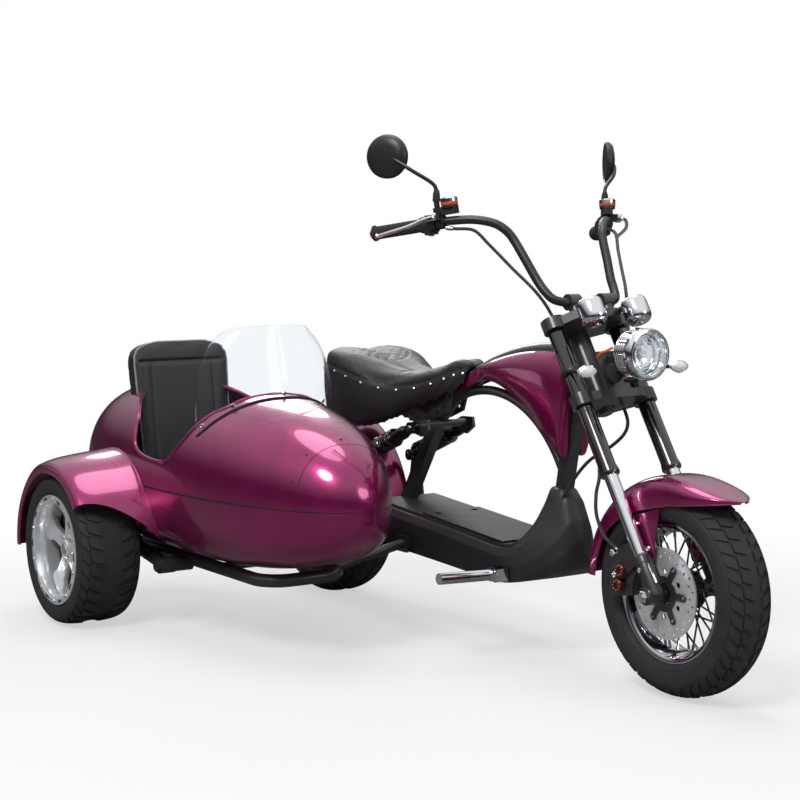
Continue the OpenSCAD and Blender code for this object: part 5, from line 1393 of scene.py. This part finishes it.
class SIDECAR_OT_handlebar(bpy.types.Operator):
    """Bar, ribbed grips, levers, fluid cups and mirrors"""

    bl_idname = "sidecar.handlebar"
    bl_label = "Handlebar"

    def execute(self, context):
        half = [fork(56, 60, 734), fork(56, 72, 734), Vector((1158, 96, 900)), Vector((1138, 108, 920)),
                Vector((1117, 115, 946)),
                Vector((1088, 127, 993)), Vector((1057, 139, 1041)), Vector((1040, 152, 1065)), Vector((1018, 173,
                        1082)),
                Vector((984, 209, 1090)), GRIP_START.lerp(GRIP_END, -0.24), GRIP_START, GRIP_START.lerp(GRIP_END,
                        0.5), GRIP_END]
        left = smooth(half, 7)
        line = [MIRRORED @ p for p in reversed(left)] + left
        bm = join(bmesh.new(), tube(line, 11, fine=5))
        make_piece(bm, "bar", "steering", "satin_black", "handlebar")

        bm = bmesh.new()
        profile = [(11.4, 30), (19.5, 30), (19.5, 36), (16.5, 37)]
        z = 41.0
        while z < GRIP_LEN - 14:
            profile += [(15.0, z), (16.6, z + 1.2), (16.6, z + 4.6), (15.0, z + 5.8)]
            z += 8.2
        profile += [(16.5, GRIP_LEN - 8), (19.5, GRIP_LEN - 8), (19.5, GRIP_LEN - 2), (16, GRIP_LEN), (11.4, GRIP_LEN)]
        join(bm, turned(profile, 40, closed=True), 0, ON_GRIP, both=True)
        end = [(0, GRIP_LEN + 6), (10, GRIP_LEN + 6), (14.5, GRIP_LEN + 3), (15, GRIP_LEN), (0, GRIP_LEN)]
        join(bm, turned(end, 32), 1, ON_GRIP, both=True)
        make_piece(bm, "grip_pair", "steering", "rubber chrome_plate", "grips")

        # Levers with ball ends, on their perches
        bm = bmesh.new()
        lever = smooth([(-13, -32.5, -16), (-12, -46, -14), (-8, -58, 8), (2, -64, 46), (8, -60, 96),
                        (12, -52, 134)], 6)
        join(bm, tube(lever, 4.6, fine=3), 0, ON_GRIP, both=True)
        ball = bmesh.new()
        bmesh.ops.create_uvsphere(ball, u_segments=20, v_segments=12, radius=6.6)
        join(bm, ball, 0, ON_GRIP @ Matrix.Translation((12, -52, 134)), both=True)
        join(bm, block((18, 16, 30), (-13, -36, -8), 3), 0, ON_GRIP, both=True)
        make_piece(bm, "levers", "steering", "chrome_plate", "brake_levers")

        # Fluid cups with an amber band, and the buttons on the switch pods
        bm = bmesh.new()
        cup = ON_GRIP @ Matrix.Translation((-36, -2, -46)) @ Matrix.Rotation(radians(-90), 4, "Y")
        join(bm, turned([(20.4, 2), (21.2, 4), (21.2, 8), (20.4, 9)], 40, closed=True), 1, cup, both=True)
        join(bm, turned([(0, 19), (12, 20.6), (19, 20), (21, 18), (21, 10), (20.2, 9)], 40), 0, cup, both=True)
        for k, y in enumerate((-9, 0, 9)):
            join(bm, block((4, 6.5, 6), (27.5, y, 13), 1.2), 2 if k == 1 else 0, ON_GRIP, both=True)
        bolt(bm, ON_GRIP @ Vector((-13, -37, 8)), ON_GRIP.to_3x3() @ Vector((0, 0, 1)), 5, 3, 0, both=True)
        make_piece(bm, "cups", "steering", "chrome_plate amber_glass red_lens")

        # Mirrors: domed housing, bevelled glass, bent stem with a rubber boot
        bm = bmesh.new()
        face = Matrix.Translation(MIRROR_C) @ Matrix.Rotation(MIRROR_YAW, 4, "Z") @ Matrix.Rotation(radians(90), 4,
                "Y")
        shell_profile = [(50, -9.2), (52.5, -10), (54, -8), (54, -1), (51, 5), (44, 10.5), (30, 13.6), (0, 14)]
        join(bm, turned(shell_profile, 64), 0, face, both=True)
        join(bm, turned([(0, -8.4), (49.5, -8.4), (50.6, -9.2), (50.6, -6), (0, -6)], 64), 1, face, both=True)
        stem = smooth([MIRROR_FOOT - Vector((0, 0, 3)), MIRROR_FOOT + Vector((0, 0, 22)), (906, 274, 1178),
                       (884, 318, 1208),
                       (857, 343, 1231), (838, 350, 1240)], 6)
        join(bm, tube(stem, 5, fine=3), 0, both=True)
        join(bm, turned([(0, -2), (8.5, -2), (9.5, 2), (8.6, 18), (6.5, 26), (5, 28)], 28), 2,
             Matrix.Translation(MIRROR_FOOT), both=True)
        make_piece(bm, "mirror_pair", "steering", "satin_black silvered_glass rubber", "mirrors")
        return {"FINISHED"}


class SIDECAR_OT_lamps(bpy.types.Operator):
    """Headlamp, gauges, turn signals, horn and their wires"""

    bl_idname = "sidecar.lamps"
    bl_label = "Lamps and gauges"

    def execute(self, context):
        ahead = Matrix.Translation((1314, 0, 777)) @ Matrix.Rotation(radians(90), 4, "Y")
        bm = bmesh.new()
        # Ribbed bucket, bezel, reflector with rings, bulb and lens
        ribs = [(0, 0), (30, 0), (38, 2), (50, 12)]
        for k in range(5):
            ribs += [(54, 16 + 8 * k), (55, 18 + 8 * k), (55, 21 + 8 * k), (53.4, 23 + 8 * k)]
        ribs += [(55, 57), (60, 59), (61, 63), (61, 79), (59, 83), (55, 84), (54.5, 80), (50, 74), (40, 56),
                 (22, 44), (0, 42)]
        join(bm, turned(ribs, 80), 0, ahead)
        for r, z in ((49, 76), (41, 70), (30, 62)):
            join(bm, turned([(r, z - 5), (r + 1.4, z), (r + 2.8, z - 3)], 64, closed=True), 0, ahead)
        join(bm, turned([(0, 62), (7, 62), (9, 60), (9, 46), (0, 46)], 32), 2, ahead)
        join(bm, turned([(9.4, 52), (20, 56), (22, 54), (10, 49)], 48, closed=True), 0, ahead)
        for k in range(12):
            a = 2 * pi * k / 12
            fin = block((9, 3, 26), (57, 0, 44), 1)
            join(bm, fin, 0, ahead @ Matrix.Rotation(a, 4, "Z"))
        join(bm, block((78, 22, 24), (1289, 0, 755), 3), 3)
        join(bm, block((30, 20, 8), (1330, 0, 712), 2), 3)
        make_piece(bm, "lamp_head", "steering", "chrome_plate rubber white_bulb satin_black", "headlight")
        bm = join(bmesh.new(), turned([(0, 84), (36, 83.4), (54, 80.5), (54, 78.5), (36, 81), (0, 81.6)], 80), 0,
                  ahead)
        make_piece(bm, "lamp_glass_front", "steering", "lamp_glass", crease=60)

        # Gauge cans with rounded shoulders and a dial facing the rider
        bm = bmesh.new()
        for side in (-68, 68):
            can = ON_FORK @ Matrix.Translation((126, side, 633))
            profile = [(0, 0), (16, 0), (25, 3), (30, 9), (32, 17), (32, 50), (31, 57), (28, 62), (25, 64),
                       (24.5, 61.5), (0, 61.5)]
            join(bm, turned(profile, 64), 0, can)
            join(bm, turned([(0, 61.6), (24.4, 61.6), (24.4, 62), (0, 62)], 48), 1, can)
            for k in range(11):
                a = radians(225 - 27 * k)
                join(bm, block((5, 1.1, 0.4), (20, 0, 62.2), 0.1), 2, can @ Matrix.Rotation(a, 4, "Z"))
            join(bm, block((19, 1.3, 0.6), (7, 0, 62.6), 0.2), 3, can @ Matrix.Rotation(radians(200), 4, "Z"))
            join(bm, rod(3, 62, 63.6, 0.4, 20), 2, can)
            join(bm, block((26, 14, 10), (87, side - 15 * (1 if side > 0 else -1), 689), 2), 2, ON_FORK)
            bolt(bm, ON_FORK @ Vector((126, side, 632)), -FORK_UP, 5, 3, 0)
        make_piece(bm, "gauge_pair", "steering", "chrome_plate dial_card satin_black red_lens", "gauges")

        # Turn signals: almond lens with a chrome rim on a black stalk, clamped to the fork tube
        bm = bmesh.new()
        for side in (-1, 1):
            centre = Vector((1340, side * 141, 741))
            bud = bmesh.new()
            bmesh.ops.create_uvsphere(bud, u_segments=32, v_segments=20, radius=1)
            bmesh.ops.transform(bud, matrix=Matrix.Diagonal((15, 27, 13.5, 1)), verts=bud.verts)
            for vert in bud.verts:
                vert.co.z *= 1 - 0.25 * (vert.co.y / 27) ** 2
            join(bm, bud, 0, Matrix.Translation(centre))
            ring = [centre + Vector((2, 26.9 * cos(t), 13.5 * sin(t) * (1 - 0.25 * cos(t) ** 2)))
                    for t in (2 * pi * k / 48 for k in range(48))]
            join(bm, tube(ring, 1.6, closed=True, fine=2), 1)
            clamp = ON_FORK @ Matrix.Translation((14, side * 95, 559))
            join(bm, turned([(21.1, 0), (25, 0), (26, 2), (26, 12), (25, 14), (21.1, 14)], 48, closed=True), 2, clamp)
            join(bm, tube([fork(24, side * 115, 566), centre - Vector((10, side * 6, 0))], 5, fine=3), 2)
            join(bm, turned([(0, -22), (7, -22), (12, -12), (13, -4), (0, -4)], 28), 2,
                 Matrix.Translation(centre) @ Matrix.Rotation(radians(90), 4, "Y"))
        make_piece(bm, "signals", "steering", "frosted_lens chrome_plate satin_black", "turn_signals")

        # Horn under the lamp with an orange lead beside it
        bm = bmesh.new()
        horn = Matrix.Translation((1282, -16, 728)) @ Matrix.Rotation(radians(80), 4, "Y")
        join(bm, turned([(0, 0), (20, 0), (24, 4), (24, 12), (18, 16), (8, 17), (0, 17)], 40), 1, horn)
        lead = smooth([(1300, -30, 790), (1292, -44, 782), (1284, -56, 776), (1270, -52, 764), (1262, -40, 772)], 6)
        join(bm, tube(lead, 3.2, fine=2), 0)
        for k in range(4):
            wire = smooth([(1316, -14 + 8 * k, 752), (1300, -20 + 9 * k, 734 - 4 * k),
                           (1276, -18 + 8 * k, 726 + 3 * k), (1250, -10 + 6 * k, 742)], 5)
            join(bm, tube(wire, 2.2, fine=2), 1)
        make_piece(bm, "horn", "steering", "orange_pvc rubber")
        return {"FINISHED"}


class SIDECAR_OT_cables(bpy.types.Operator):
    """Braided brake hose and cable, and the wires to the floor pan"""

    bl_idname = "sidecar.cables"
    bl_label = "Cables"

    def execute(self, context):
        hose = smooth([(935, -251, 1070), (950, -236, 1068), (977, -200, 1064), (998, -170, 1030), (1038, -130, 973),
                       (1088, -90, 911), fork(-10, -66, 724), fork(-10, -66, 600), fork(-10, -66, 462), (1322, -86,
                               510),
                       (1316, -90, 450), (1318, -90, 401), (1340, -86, 356), (1363, -78, 335), (1387, -76, 321)], 8)
        cable = smooth([(935, 251, 1070), (950, 236, 1068), (990, 214, 1068), (1051, 186, 1055), (1091, 160, 1016),
                        (1140, 130, 972), (1185, 106, 920), (1201, 98, 863), (1226, 80, 826), (1262, 48, 800), (1292,
                                30, 791),
                        (1313.5, 26, 789)], 8)
        bm = bmesh.new()
        for line in (hose, cable):
            join(bm, tube(line, 4.2, fine=3), 0)
            for end, other in ((line[0], line[3]), (line[-1], line[-4])):
                join(bm, rod(5.6, -2, 15, 1, 20), 1, aim(end, other - end))
        make_piece(bm, "hoses", "steering", "braid chrome_plate", "control_cables")
        loop = smooth([fork(-6, 40, 474.7), (1277, 38, 608), (1272, 30, 578), (1243, 12, 546), (1209, 0, 525),
                       (1179, -12, 498), (1146, -20, 459), (1111.5, -27, 409)], 8)
        bm = join(bmesh.new(), tube(loop, 4.2, fine=3))
        piece = make_piece(bm, "loom", "", "rubber")
        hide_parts("wiring_loop")
        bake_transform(piece)
        return {"FINISHED"}


# ---------- panel and running order ----------


class SIDECAR_PT_panel(bpy.types.Panel):
    """Lists the pieces and their settings"""

    bl_label = "Sidecar motorcycle"
    bl_idname = "SIDECAR_PT_panel"
    bl_space_type = "VIEW_3D"
    bl_region_type = "UI"
    bl_category = "Sidecar"

    def draw(self, context):
        for group in (context.scene.sidecar_sizes, context.scene.sidecar_colours):
            for key in group.bl_rna.properties.keys():
                if key not in ("rna_type", "name"):
                    self.layout.prop(group, key)
        for step in STEPS:
            self.layout.operator(step.bl_idname)


STEPS = (
    SIDECAR_OT_stage, SIDECAR_OT_finishes, SIDECAR_OT_body, SIDECAR_OT_windscreen, SIDECAR_OT_wing, SIDECAR_OT_tank,
    SIDECAR_OT_fenders, SIDECAR_OT_saddle, SIDECAR_OT_seats, SIDECAR_OT_tyres, SIDECAR_OT_side_rim,
    SIDECAR_OT_front_wheel, SIDECAR_OT_floor, SIDECAR_OT_shocks, SIDECAR_OT_tail_lamp, SIDECAR_OT_fork, SIDECAR_OT_brakes, SIDECAR_OT_handlebar,
    SIDECAR_OT_lamps, SIDECAR_OT_cables,
)
CLASSES = (SidecarSizes, SidecarColours, SIDECAR_PT_panel) + STEPS


def register():
    for item in CLASSES:
        bpy.utils.register_class(item)
    bpy.types.Scene.sidecar_sizes = PointerProperty(type=SidecarSizes)
    bpy.types.Scene.sidecar_colours = PointerProperty(type=SidecarColours)


def unregister():
    del bpy.types.Scene.sidecar_sizes
    del bpy.types.Scene.sidecar_colours
    for item in reversed(CLASSES):
        bpy.utils.unregister_class(item)


def main():
    register()
    for step in STEPS:
        group, name = step.bl_idname.split(".")
        if getattr(getattr(bpy.ops, group), name)() != {"FINISHED"}:
            raise RuntimeError(f"{step.bl_label} didn't finish")


if __name__ == "__main__":
    main()
